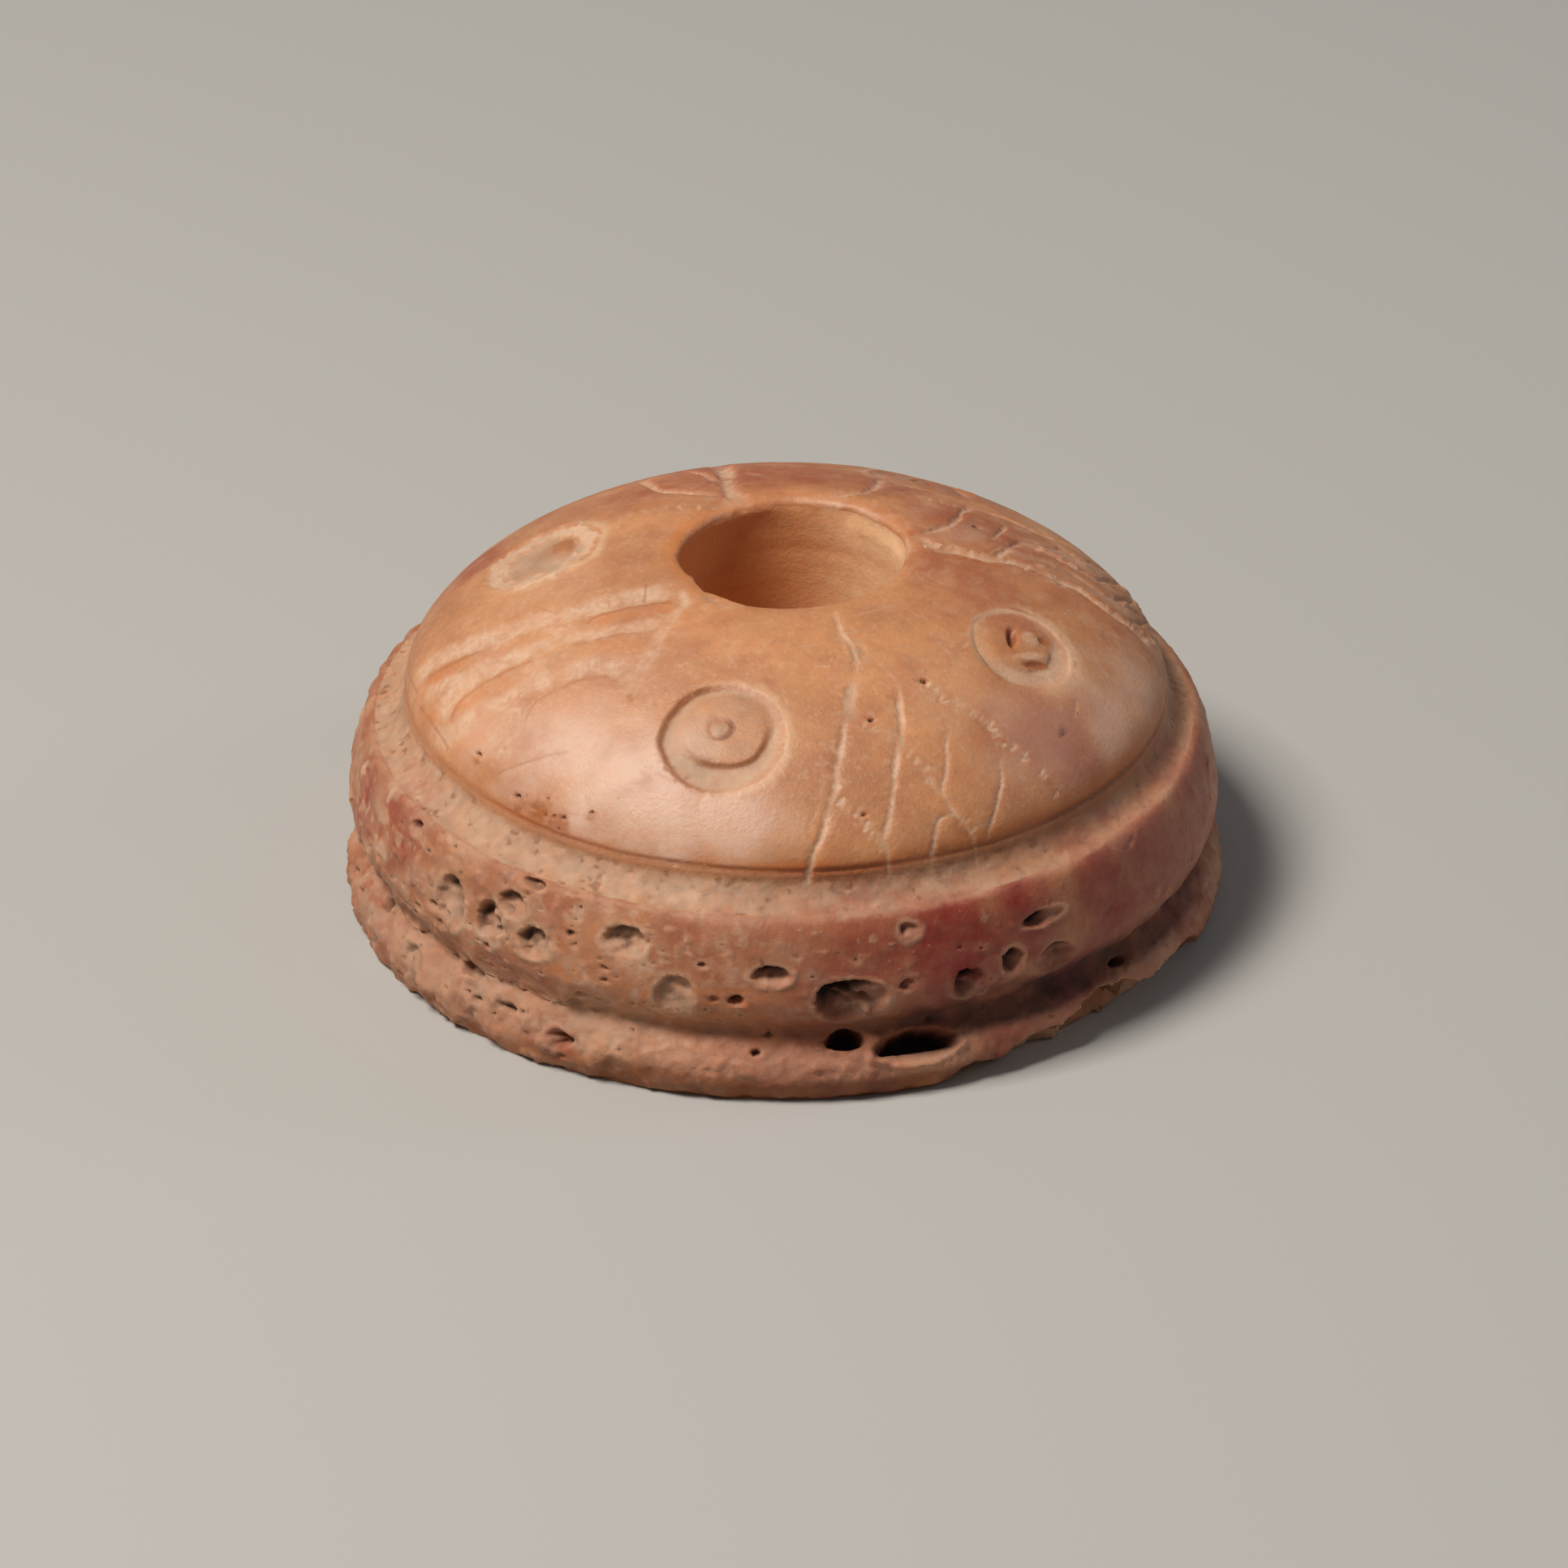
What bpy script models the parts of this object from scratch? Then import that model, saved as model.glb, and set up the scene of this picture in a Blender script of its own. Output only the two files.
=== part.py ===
"""Bone spindle whorl: a turned, domed disc of bone with a spindle hole through it.

Four ring-and-dot marks sit round the dome, a groove runs round its foot, a waist parts the
bulging band from the flange below, natural pores open in the side, and the flange is broken
along one stretch. It is one solid piece, carved from one piece of bone.

Metres and degrees, +Z up. The origin is on the turning axis, in the plane of the flat
underside. Azimuths turn from +X towards +Y.
"""

import math

import bmesh
import bpy
from mathutils import Matrix, Vector

# ---- Driving dimensions ----
OVERALL_DIAMETER = 0.0320
OVERALL_HEIGHT = 0.0135
SPINDLE_HOLE_DIAMETER = 0.0080
SPINDLE_HOLE_OFFSET = 0.00025       # the hole was bored a little off the turning axis, towards +X

# ---- Dome ----
CREST_RADIUS = 0.0046               # the highest circle, just outside the hole
RIM_DROP = 0.00020                  # how far the surface dips from the crest to the hole's rim
DOME_FOOT_RADIUS = 0.0138
DOME_FOOT_HEIGHT = 0.00823
DOME_FULLNESS = 1.48                # a higher power keeps the dome flat for longer near its crest
DOME_SHOULDER = 0.595               # a lower power makes the dome steeper at its foot
DOME_STEPS = 8

# ---- Groove round the dome's foot: a fine cut line, then a wide hollow, then a ridge ----
FINE_LINE_DEPTH = 0.00012
FINE_LINE_WIDTH = 0.00020
HOLLOW_TOP_RADIUS = 0.01395
HOLLOW_TOP_HEIGHT = 0.00790
RIDGE_RADIUS = 0.01500
RIDGE_HEIGHT = 0.00703
HOLLOW_STEPS = 3

# ---- Side below the ridge: (radius, height) points that a smooth curve runs through ----
BAND_RADIUS = 0.01580
BASE_RADIUS = 0.01560               # the flat underside's outer edge
SIDE_POINTS = [
    (RIDGE_RADIUS, RIDGE_HEIGHT),
    (0.01541, 0.00620),             # the band bulges out below the ridge
    (BAND_RADIUS, 0.00420),
    (0.01557, 0.00325),
    (0.01502, 0.00248),             # the waist
    (0.01564, 0.00187),             # the flange's sloping top
    (0.01590, 0.00155),
    (OVERALL_DIAMETER / 2, 0.00105),
    (0.01589, 0.00045),
    (BASE_RADIUS, 0.0),
]
SIDE_STEPS = 2                      # straight pieces between two of the points

TURNING_STEPS = 64

# ---- Ring-and-dot marks: azimuth, distance from the axis, ring's outer radius ----
RING_AND_DOTS = [
    (257.7, 0.01037, 0.00220),
    (332.9, 0.00958, 0.00195),
    (168.6, 0.00876, 0.00205),
    (57.0, 0.0095, 0.00205),
]
RING_INNER_SHARE = 0.58             # the raised boss's radius, as a share of the ring's outer one
RING_DEPTH = 0.00032
DOT_RADIUS = 0.00045
DOT_DEPTH = 0.00045
DOME_CURVE_RADIUS = 0.0120          # how the dome curves under a mark's width
RING_SEGMENTS = 24
DOT_SEGMENTS = 12

# ---- Cut strokes on the dome: width, depth, then (x, y) points in plan that it runs through ----
STROKES = [
    (0.00040, 0.00012, [(0.0017, -0.0049), (0.0025, -0.0075), (0.0021, -0.0103), (0.0010, -0.0134)]),
    (0.00030, 0.00010, [(0.0040, -0.0081), (0.0040, -0.0105), (0.00345, -0.0131)]),
    (0.00030, 0.00010, [(0.00575, -0.0094), (0.0055, -0.0115), (0.0051, -0.0127)]),
    (0.00030, 0.00010, [(0.0076, -0.0097), (0.0075, -0.0108), (0.0071, -0.0117)]),
    (0.00080, 0.00011, [(-0.0045, -0.0031), (-0.0070, -0.0033), (-0.0100, -0.0029), (-0.0130, -0.0020)]),
    (0.00080, 0.00011, [(-0.0045, -0.0048), (-0.0080, -0.0046), (-0.0104, -0.0045), (-0.0124, -0.0048)]),
    (0.00080, 0.00011, [(-0.0057, -0.0070), (-0.0082, -0.0062), (-0.0104, -0.0063), (-0.0122, -0.0056)]),
    (0.00045, 0.00010, [(-0.0037, -0.0034), (-0.0042, -0.0052), (-0.0053, -0.0076)]),
    (0.00080, 0.00020, [(-0.0019, 0.0045), (-0.0021, 0.0063), (-0.0022, 0.0082), (-0.0026, 0.0104)]),
    (0.00045, 0.00014, [(-0.0029, 0.0047), (-0.0046, 0.0059), (-0.0054, 0.0094)]),
    (0.00040, 0.00013, [(0.0018, 0.0045), (0.0032, 0.0053), (0.0037, 0.0076)]),
    (0.00040, 0.00013, [(0.0048, 0.0014), (0.0061, 0.0028), (0.0069, 0.0053), (0.0092, 0.0049)]),
    (0.00040, 0.00013, [(0.0076, 0.0005), (0.0086, 0.0027), (0.0103, 0.0025), (0.0122, 0.0029)]),
    (0.00050, 0.00014, [(0.0050, 0.0008), (0.0068, 0.00035), (0.0093, 0.0009), (0.0130, 0.0002)]),
]
STROKE_STEPS = 3

# ---- Pores in the side: azimuth, height, width, tallness, depth ----
PORES = [
    (278.5, 0.00395, 0.00275, 0.00210, 0.0015),
    (278.0, 0.00210, 0.00140, 0.00072, 0.0011),
    (287.2, 0.00180, 0.00320, 0.00105, 0.0013),
    (268.5, 0.00505, 0.00145, 0.00085, 0.0005),
    (255.8, 0.00405, 0.00145, 0.00175, 0.0004),
    (249.3, 0.00572, 0.00170, 0.00130, 0.0005),
    (240.3, 0.00137, 0.00120, 0.00078, 0.0008),
    (294.5, 0.00405, 0.00135, 0.00115, 0.0006),
    (300.7, 0.00445, 0.00092, 0.00105, 0.0006),
    (307.3, 0.00400, 0.00220, 0.00115, 0.0004),
    (305.6, 0.00565, 0.00190, 0.00058, 0.0005),
    (236.3, 0.00490, 0.00125, 0.00120, 0.0006),
    (232.1, 0.00595, 0.00125, 0.00100, 0.0005),
    (228.6, 0.00495, 0.00120, 0.00160, 0.0007),
    (221.2, 0.00495, 0.00160, 0.00200, 0.0006),
    (202.3, 0.00211, 0.00075, 0.00066, 0.0006),
    (140.0, 0.00440, 0.00125, 0.00090, 0.0006),
    (98.0, 0.00520, 0.00155, 0.00095, 0.0006),
    (62.0, 0.00380, 0.00120, 0.00095, 0.0006),
    (24.0, 0.00480, 0.00140, 0.00090, 0.0006),
]

# ---- Breaks in the flange: azimuth, centre's radius and height, then half its length along
# ---- the edge, half its depth and half its height ----
BREAKS = [
    (297.0, 0.01650, -0.00020, 0.0024, 0.00170, 0.00115),
    (306.0, 0.01650, 0.00010, 0.0025, 0.00180, 0.00130),
    (315.0, 0.01640, 0.00050, 0.0026, 0.00195, 0.00135),
    (324.5, 0.01650, 0.00010, 0.0024, 0.00180, 0.00125),
    (332.5, 0.01650, 0.00015, 0.0023, 0.00170, 0.00120),
    (340.0, 0.01660, -0.00035, 0.0020, 0.00150, 0.00095),
    (173.0, 0.01655, 0.00110, 0.0022, 0.00085, 0.00090),
    (92.0, 0.01650, 0.00010, 0.0018, 0.00120, 0.00090),
]

# ---- Polished old bone ----
BONE_COLOUR = (0.56, 0.31, 0.16, 1.0)
BONE_ROUGHNESS = 0.5

CUTTER_REACH = 0.002                # how far a cutter runs past the surface that it cuts
SLOPE_REACH = 0.0001                # half the step over which a slope is measured
MERGE_DISTANCE = 0.000001
SHARP_EDGE_ANGLE = 40.0             # edges that turn by more than this are drawn sharp


def clear_scene():
    for item in list(bpy.data.objects):
        bpy.data.objects.remove(item, do_unlink=True)


def bone_material():
    material = bpy.data.materials.new("polished old bone")
    material.use_nodes = True
    shader = material.node_tree.nodes["Principled BSDF"]
    shader.inputs["Base Color"].default_value = BONE_COLOUR
    shader.inputs["Roughness"].default_value = BONE_ROUGHNESS
    shader.inputs["Metallic"].default_value = 0.0
    return material


def object_from(mesh_data, name):
    """Turn bmesh data into an object in the scene, with its faces pointing out."""
    bmesh.ops.recalc_face_normals(mesh_data, faces=mesh_data.faces)
    mesh = bpy.data.meshes.new(name)
    mesh_data.to_mesh(mesh)
    mesh_data.free()
    item = bpy.data.objects.new(name, mesh)
    bpy.context.collection.objects.link(item)
    return item


def turned(outline, name, segments, closed=False):
    """Spin an outline of (radius, height) points about Z into a closed solid."""
    mesh_data = bmesh.new()
    corners = [mesh_data.verts.new((radius, 0.0, height)) for radius, height in outline]
    edges = [mesh_data.edges.new(pair) for pair in zip(corners, corners[1:])]
    if closed:
        edges.append(mesh_data.edges.new((corners[-1], corners[0])))
    bmesh.ops.spin(
        mesh_data,
        geom=corners + edges,
        cent=(0.0, 0.0, 0.0),
        axis=(0.0, 0.0, 1.0),
        angle=math.tau,
        steps=segments,
        use_merge=True,
    )
    bmesh.ops.remove_doubles(mesh_data, verts=mesh_data.verts, dist=MERGE_DISTANCE)
    return object_from(mesh_data, name)


def smooth_curve(points, steps):
    """A Catmull-Rom curve through the points, with this many pieces between two of them."""
    padded = [points[0]] + points + [points[-1]]
    curve = []
    for before, start, end, after in zip(padded, padded[1:], padded[2:], padded[3:]):
        for step in range(steps):
            share = step / steps
            curve.append(tuple(
                0.5 * (2 * b + (c - a) * share
                       + (2 * a - 5 * b + 4 * c - d) * share ** 2
                       + (3 * b - a - 3 * c + d) * share ** 3)
                for a, b, c, d in zip(before, start, end, after)
            ))
    curve.append(points[-1])
    return curve


def dome_height(radius):
    """Height of the dome at a distance from the axis, from its crest out to its foot."""
    share = (radius - CREST_RADIUS) / (DOME_FOOT_RADIUS - CREST_RADIUS)
    rise = OVERALL_HEIGHT - DOME_FOOT_HEIGHT
    return DOME_FOOT_HEIGHT + rise * (1.0 - max(share, 0.0) ** DOME_FULLNESS) ** DOME_SHOULDER


def crown_outline():
    """From the axis, over the dipped rim and the crest, down the dome to its foot."""
    hole_radius = SPINDLE_HOLE_DIAMETER / 2
    outline = [(0.0, OVERALL_HEIGHT - RIM_DROP)]
    for share in (1.0, 0.5):
        radius = CREST_RADIUS + (hole_radius - CREST_RADIUS) * share
        outline.append((radius, OVERALL_HEIGHT - RIM_DROP * share ** 2))
    for step in range(DOME_STEPS + 1):
        share = math.sin(math.radians(90.0) * step / DOME_STEPS)
        radius = CREST_RADIUS + (DOME_FOOT_RADIUS - CREST_RADIUS) * share
        outline.append((radius, dome_height(radius)))
    return outline


def foot_groove_outline():
    """The fine cut line under the dome and the wide hollow below it, down to the ridge."""
    line_height = DOME_FOOT_HEIGHT - FINE_LINE_WIDTH / 2
    outline = [
        (DOME_FOOT_RADIUS - FINE_LINE_DEPTH, line_height),
        (DOME_FOOT_RADIUS + FINE_LINE_DEPTH / 2, line_height - FINE_LINE_WIDTH / 2),
    ]
    for step in range(HOLLOW_STEPS):
        turn = math.radians(90.0) * step / HOLLOW_STEPS
        outline.append((
            RIDGE_RADIUS - (RIDGE_RADIUS - HOLLOW_TOP_RADIUS) * math.cos(turn),
            HOLLOW_TOP_HEIGHT - (HOLLOW_TOP_HEIGHT - RIDGE_HEIGHT) * math.sin(turn),
        ))
    return outline


def side_radius(height):
    """Radius of the side at a height, read from its outline."""
    outline = smooth_curve(SIDE_POINTS, SIDE_STEPS)
    for (upper_radius, upper), (lower_radius, lower) in zip(outline, outline[1:]):
        if lower <= height <= upper:
            share = (height - lower) / max(upper - lower, MERGE_DISTANCE)
            return lower_radius + (upper_radius - lower_radius) * share
    return BAND_RADIUS


def surface_frame(azimuth, point, normal_out, normal_up):
    """Matrix at a (radius, height) point, with X along the turning and Z out of the bone."""
    turn = math.radians(azimuth)
    outward = Vector((math.cos(turn), math.sin(turn), 0.0))
    along = Vector((-math.sin(turn), math.cos(turn), 0.0))
    normal = (outward * normal_out + Vector((0.0, 0.0, normal_up))).normalized()
    across = normal.cross(along)
    frame = Matrix((along, across, normal)).transposed().to_4x4()
    frame.translation = outward * point[0] + Vector((0.0, 0.0, point[1]))
    return frame


def dome_slope(radius):
    """How much the dome rises per metre outwards; it falls, so this is below zero."""
    inner, outer = radius - SLOPE_REACH, min(radius + SLOPE_REACH, DOME_FOOT_RADIUS)
    return (dome_height(outer) - dome_height(inner)) / (outer - inner)


def dome_frame(azimuth, radius):
    """The surface frame on the dome, whose Z stands square on its slope."""
    return surface_frame(azimuth, (radius, dome_height(radius)), -dome_slope(radius), 1.0)


def cut(target, cutter):
    """Take the cutter's shape out of the target with a live Boolean."""
    cutter.hide_render = True
    cutter.display_type = "WIRE"
    boolean = target.modifiers.new(cutter.name, "BOOLEAN")
    boolean.operation = "DIFFERENCE"
    boolean.solver = "EXACT"
    boolean.object = cutter


def make_blank():
    """The turned blank: crown, foot groove, band, waist, flange and flat underside."""
    outline = crown_outline() + foot_groove_outline()
    outline += smooth_curve(SIDE_POINTS, SIDE_STEPS) + [(0.0, 0.0)]
    return turned(outline, "spindle_whorl", TURNING_STEPS)


def cut_spindle_hole(whorl):
    radius = SPINDLE_HOLE_DIAMETER / 2
    ends = (-CUTTER_REACH, OVERALL_HEIGHT + CUTTER_REACH)
    outline = [(0.0, ends[1]), (radius, ends[1]), (radius, ends[0]), (0.0, ends[0])]
    drill = turned(outline, "spindle_hole_cutter", TURNING_STEPS // 2)
    drill.location.x = SPINDLE_HOLE_OFFSET
    cut(whorl, drill)


def cut_ring_and_dots(whorl):
    """A channel round a raised boss, with a drilled dot in the boss's middle."""
    for number, (azimuth, distance, outer) in enumerate(RING_AND_DOTS, start=1):
        inner = outer * RING_INNER_SHARE
        outline = [
            (inner, CUTTER_REACH),
            (inner, -RING_DEPTH - inner ** 2 / (2 * DOME_CURVE_RADIUS)),
            (outer, -RING_DEPTH - outer ** 2 / (2 * DOME_CURVE_RADIUS)),
            (outer, CUTTER_REACH),
        ]
        ring = turned(outline, f"ring_{number}_cutter", RING_SEGMENTS, closed=True)
        dot_outline = [(0.0, CUTTER_REACH), (DOT_RADIUS, CUTTER_REACH), (DOT_RADIUS, 0.0), (0.0, -DOT_DEPTH)]
        dot = turned(dot_outline, f"dot_{number}_cutter", DOT_SEGMENTS)
        for cutter in (ring, dot):
            cutter.matrix_world = dome_frame(azimuth, distance)
            cut(whorl, cutter)


def cut_strokes(whorl):
    """A round-bottomed furrow along each stroke, from a rod that lies along the dome."""
    for number, (width, depth, route) in enumerate(STROKES, start=1):
        rod_radius = (depth ** 2 + (width / 2) ** 2) / (2 * depth)
        points = smooth_curve(route, STROKE_STEPS)
        curve = bpy.data.curves.new(f"stroke_{number}_cutter", "CURVE")
        curve.dimensions = "3D"
        curve.bevel_depth = rod_radius
        curve.bevel_resolution = 1
        curve.use_fill_caps = True
        spline = curve.splines.new("POLY")
        spline.points.add(len(points) - 1)
        for corner, (x, y) in zip(spline.points, points):
            frame = dome_frame(math.degrees(math.atan2(y, x)), math.hypot(x, y))
            corner.co = (*(frame @ Vector((0.0, 0.0, rod_radius - depth))), 1.0)
        rod = bpy.data.objects.new("rod", curve)
        bpy.context.collection.objects.link(rod)
        mesh_data = bmesh.new()
        mesh_data.from_mesh(rod.to_mesh())
        bmesh.ops.remove_doubles(mesh_data, verts=mesh_data.verts, dist=MERGE_DISTANCE)
        bpy.data.objects.remove(rod, do_unlink=True)
        cut(whorl, object_from(mesh_data, f"stroke_{number}_cutter"))


def rounded_cutter(name, half_sizes, frame):
    """An egg-shaped cutter, with its half sizes along the frame's three axes."""
    mesh_data = bmesh.new()
    bmesh.ops.create_icosphere(mesh_data, subdivisions=2, radius=1.0)
    bmesh.ops.scale(mesh_data, vec=half_sizes, verts=mesh_data.verts)
    cutter = object_from(mesh_data, name)
    cutter.matrix_world = frame
    return cutter


def cut_pores(whorl):
    for number, (azimuth, height, width, tallness, depth) in enumerate(PORES, start=1):
        frame = surface_frame(azimuth, (side_radius(height), height), 1.0, 0.0)
        half_sizes = (width / 2, tallness / 2, depth)
        cut(whorl, rounded_cutter(f"pore_{number}_cutter", half_sizes, frame))


def cut_breaks(whorl):
    for number, (azimuth, radius, height, length, depth, rise) in enumerate(BREAKS, start=1):
        frame = surface_frame(azimuth, (radius, height), 1.0, 0.0)
        cut(whorl, rounded_cutter(f"break_{number}_cutter", (length, rise, depth), frame))


def main():
    clear_scene()
    whorl = make_blank()
    whorl.data.materials.append(bone_material())
    whorl.data.shade_smooth()
    whorl.data.set_sharp_from_angle(angle=math.radians(SHARP_EDGE_ANGLE))
    cut_spindle_hole(whorl)
    cut_strokes(whorl)
    cut_ring_and_dots(whorl)
    cut_pores(whorl)
    cut_breaks(whorl)


main()
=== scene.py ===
# %% [markdown]
# # A bone spindle whorl
#
# A spindle whorl is the small flywheel of a hand spindle. This one was turned from a single
# piece of bone, bored for the shaft, polished, and marked with rings, dots and scratched strokes.
# The lesson loads the plain model, then carves a much finer one over it: first the turned form,
# then the ornament, then the pores, the breaks and the wear, and last the finish of old bone.
# Sizes are in millimetres, and `MM` turns them into the metres of the frame.

import itertools
import math

import bmesh
import bpy
import numpy as np
from mathutils import Matrix, Vector


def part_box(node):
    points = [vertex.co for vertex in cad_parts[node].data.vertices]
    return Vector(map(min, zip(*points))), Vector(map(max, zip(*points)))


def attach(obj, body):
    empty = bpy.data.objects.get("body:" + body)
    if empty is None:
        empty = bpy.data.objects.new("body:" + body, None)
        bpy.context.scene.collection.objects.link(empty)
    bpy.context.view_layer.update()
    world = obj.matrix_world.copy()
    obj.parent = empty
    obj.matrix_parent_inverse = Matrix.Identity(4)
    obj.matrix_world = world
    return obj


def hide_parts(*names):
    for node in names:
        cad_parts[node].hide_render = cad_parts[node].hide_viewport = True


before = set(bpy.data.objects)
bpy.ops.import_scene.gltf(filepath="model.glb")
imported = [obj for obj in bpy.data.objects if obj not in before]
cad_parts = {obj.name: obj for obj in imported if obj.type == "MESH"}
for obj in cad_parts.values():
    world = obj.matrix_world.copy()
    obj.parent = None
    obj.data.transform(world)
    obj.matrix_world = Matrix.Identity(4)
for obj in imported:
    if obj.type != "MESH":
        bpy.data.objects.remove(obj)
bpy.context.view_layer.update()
MM = 0.001
low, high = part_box("spindle_whorl")
RADIUS = (high.x - low.x) / 2 / MM
HEIGHT = high.z / MM
print(f"whorl: {2 * RADIUS:.1f} mm across, {HEIGHT:.1f} mm tall")

# %% [markdown]
# ## The camera
#
# The whorl lies on its flat side, and is looked at from the front and about thirty degrees
# above. A long lens from a hand's length away keeps the circles from bulging, as in a close
# studio picture of a small find.

# %% Camera
VIEW_RISE = math.radians(29.645)
VIEW_DISTANCE = 283.6
VIEW_CENTRE_HEIGHT = 3.84
LENS_ANGLE = math.radians(11.53)


def add_camera():
    """Put the camera in front of the whorl, aimed a little above its flat side."""
    data = bpy.data.cameras.new("view from the front")
    data.angle = LENS_ANGLE
    data.clip_start = 0.01
    camera = bpy.data.objects.new("view from the front", data)
    bpy.context.scene.collection.objects.link(camera)
    camera.location = (
        0.0,
        -VIEW_DISTANCE * math.cos(VIEW_RISE) * MM,
        (VIEW_CENTRE_HEIGHT + VIEW_DISTANCE * math.sin(VIEW_RISE)) * MM,
    )
    camera.rotation_euler = (math.radians(90.0) - VIEW_RISE, 0.0, 0.0)
    bpy.context.scene.camera = camera


add_camera()

# %% [markdown]
# ## The turned form
#
# A turner shapes a whorl on a small lathe: the blade draws one outline, and the turning makes
# it round. So the mesh starts as one outline, from the bore over the dome to the flat side and
# back, and is spun. The outline is drawn coarsely, because a Subdivision Surface then makes it
# fine and keeps it smooth. Spinning a fine outline at once would take minutes.

# %% Outline of the turning
BORE_RADIUS = 4.0
BORE_OFFSET = 0.25
CREST_RADIUS = 4.6
DOME_FOOT_RADIUS = 13.8
DOME_FOOT_HEIGHT = 8.23
DOME_FULLNESS = 1.48
DOME_SHOULDER = 0.595
RIDGE_RADIUS = 15.0
RIDGE_HEIGHT = 7.03
WAIST_HEIGHT = 2.48
FLAT_EDGE_RADIUS = 15.6
RIM_POINTS = [
    (BORE_RADIUS, HEIGHT - 0.62),
    (4.02, HEIGHT - 0.30),
    (4.17, HEIGHT - 0.09),
    (CREST_RADIUS, HEIGHT),
]
SIDE_POINTS = [
    (RIDGE_RADIUS, RIDGE_HEIGHT),
    (15.41, 6.20),
    (15.80, 4.20),
    (15.57, 3.25),
    (15.02, WAIST_HEIGHT),
    (15.64, 1.87),
    (15.90, 1.55),
    (RADIUS, 1.05),
    (15.89, 0.45),
    (FLAT_EDGE_RADIUS, 0.0),
]


def dome_height(radius):
    """Height of the dome at a distance from the axis, from its crest out to its foot."""
    share = np.clip((radius - CREST_RADIUS) / (DOME_FOOT_RADIUS - CREST_RADIUS), 0.0, 1.0)
    rise = HEIGHT - DOME_FOOT_HEIGHT
    return DOME_FOOT_HEIGHT + rise * (1.0 - share**DOME_FULLNESS) ** DOME_SHOULDER


def hollow_height(radius):
    """Height of the hollow under the dome: a quarter ellipse from the foot out to the ridge."""
    share = np.clip((RIDGE_RADIUS - radius) / (RIDGE_RADIUS - DOME_FOOT_RADIUS), 0.0, 1.0)
    return DOME_FOOT_HEIGHT - (DOME_FOOT_HEIGHT - RIDGE_HEIGHT) * np.sqrt(1.0 - share**2)


def smooth_curve(points, steps):
    """A Catmull-Rom curve through the points, with this many pieces between two of them."""
    points = np.array(points, float)
    padded = np.vstack([points[:1], points, points[-1:]])
    curve = []
    for before, start, end, after in zip(padded, padded[1:], padded[2:], padded[3:]):
        for share in np.arange(steps) / steps:
            bend = 2 * before - 5 * start + 4 * end - after
            twist = 3 * start - before - 3 * end + after
            curve.append(0.5 * (2 * start + (end - before) * share + bend * share**2 + twist * share**3))
    return np.array(curve + [points[-1]])


def even_steps(curve, spacing):
    """Points along a curve at about an even spacing, with both of its ends."""
    curve = np.array(curve, float)
    lengths = np.concatenate([[0.0], np.cumsum(np.linalg.norm(np.diff(curve, axis=0), axis=1))])
    count = max(int(round(lengths[-1] / spacing)), 1)
    places = np.linspace(0.0, lengths[-1], count + 1)
    return np.column_stack([np.interp(places, lengths, column) for column in curve.T])


# %% [markdown]
# The visible surfaces get rows every 0.28 mm, which two subdivisions bring down to less than
# 0.1 mm, fine enough for a scratch. The bore and the flat side hold less, so their rows are
# wider apart.

# %% Rows of the outline
FINE_ROW = 0.28
BORE_ROW = 0.60
FLAT_ROW = 0.80


def whorl_outline():
    """The closed outline as (radius, height) points, from the bore's foot round and back."""
    bore = even_steps([(BORE_RADIUS, 0.25), RIM_POINTS[0]], BORE_ROW)
    rim = even_steps(smooth_curve(RIM_POINTS, 6), FINE_ROW / 2)
    turn = np.linspace(0.0, math.pi / 2, 400)
    sweep = CREST_RADIUS + (DOME_FOOT_RADIUS - CREST_RADIUS) * np.sin(turn)
    dome = even_steps(np.column_stack([sweep, dome_height(sweep)]), FINE_ROW)
    sweep = RIDGE_RADIUS - (RIDGE_RADIUS - DOME_FOOT_RADIUS) * np.cos(turn)
    hollow = even_steps(np.column_stack([sweep, hollow_height(sweep)]), FINE_ROW * 0.6)
    side = even_steps(smooth_curve(SIDE_POINTS, 12), FINE_ROW)
    flat = even_steps([(FLAT_EDGE_RADIUS - 0.12, 0.0), (BORE_RADIUS + 0.25, 0.0)], FLAT_ROW)
    corner = np.array([(BORE_RADIUS + 0.04, 0.05)])
    return np.vstack([bore, rim[1:], dome[1:], hollow[1:], side[1:], flat, corner])


OUTLINE = whorl_outline()
SIDE_OUTLINE = OUTLINE[(OUTLINE[:, 0] > DOME_FOOT_RADIUS - 0.01) & (OUTLINE[:, 1] > 0.0)]
print(f"outline: {len(OUTLINE)} points")

# %% [markdown]
# The spin leaves one four-sided face between two rows and two steps, and each of the two
# subdivisions cuts every face into four. A spin numbers its edges and faces anew in every run,
# so they get one fixed order first, and each run then gives exactly the same whorl.

# %% Spin the outline and subdivide it
TURNING_STEPS = 224
SUBDIVISIONS = 2


def finished_mesh(item):
    """The mesh of an object with its modifiers applied."""
    depsgraph = bpy.context.evaluated_depsgraph_get()
    return bpy.data.meshes.new_from_object(item.evaluated_get(depsgraph))


def settle_order(mesh_data):
    """Number the edges and faces by their corners, because a spin numbers them anew each run."""
    mesh_data.verts.index_update()
    count = len(mesh_data.verts)
    for parts in (mesh_data.edges, mesh_data.faces):
        corners = {part: [corner.index for corner in part.verts] for part in parts}
        parts.sort(key=lambda part: min(corners[part]) * count + max(corners[part]))


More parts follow.
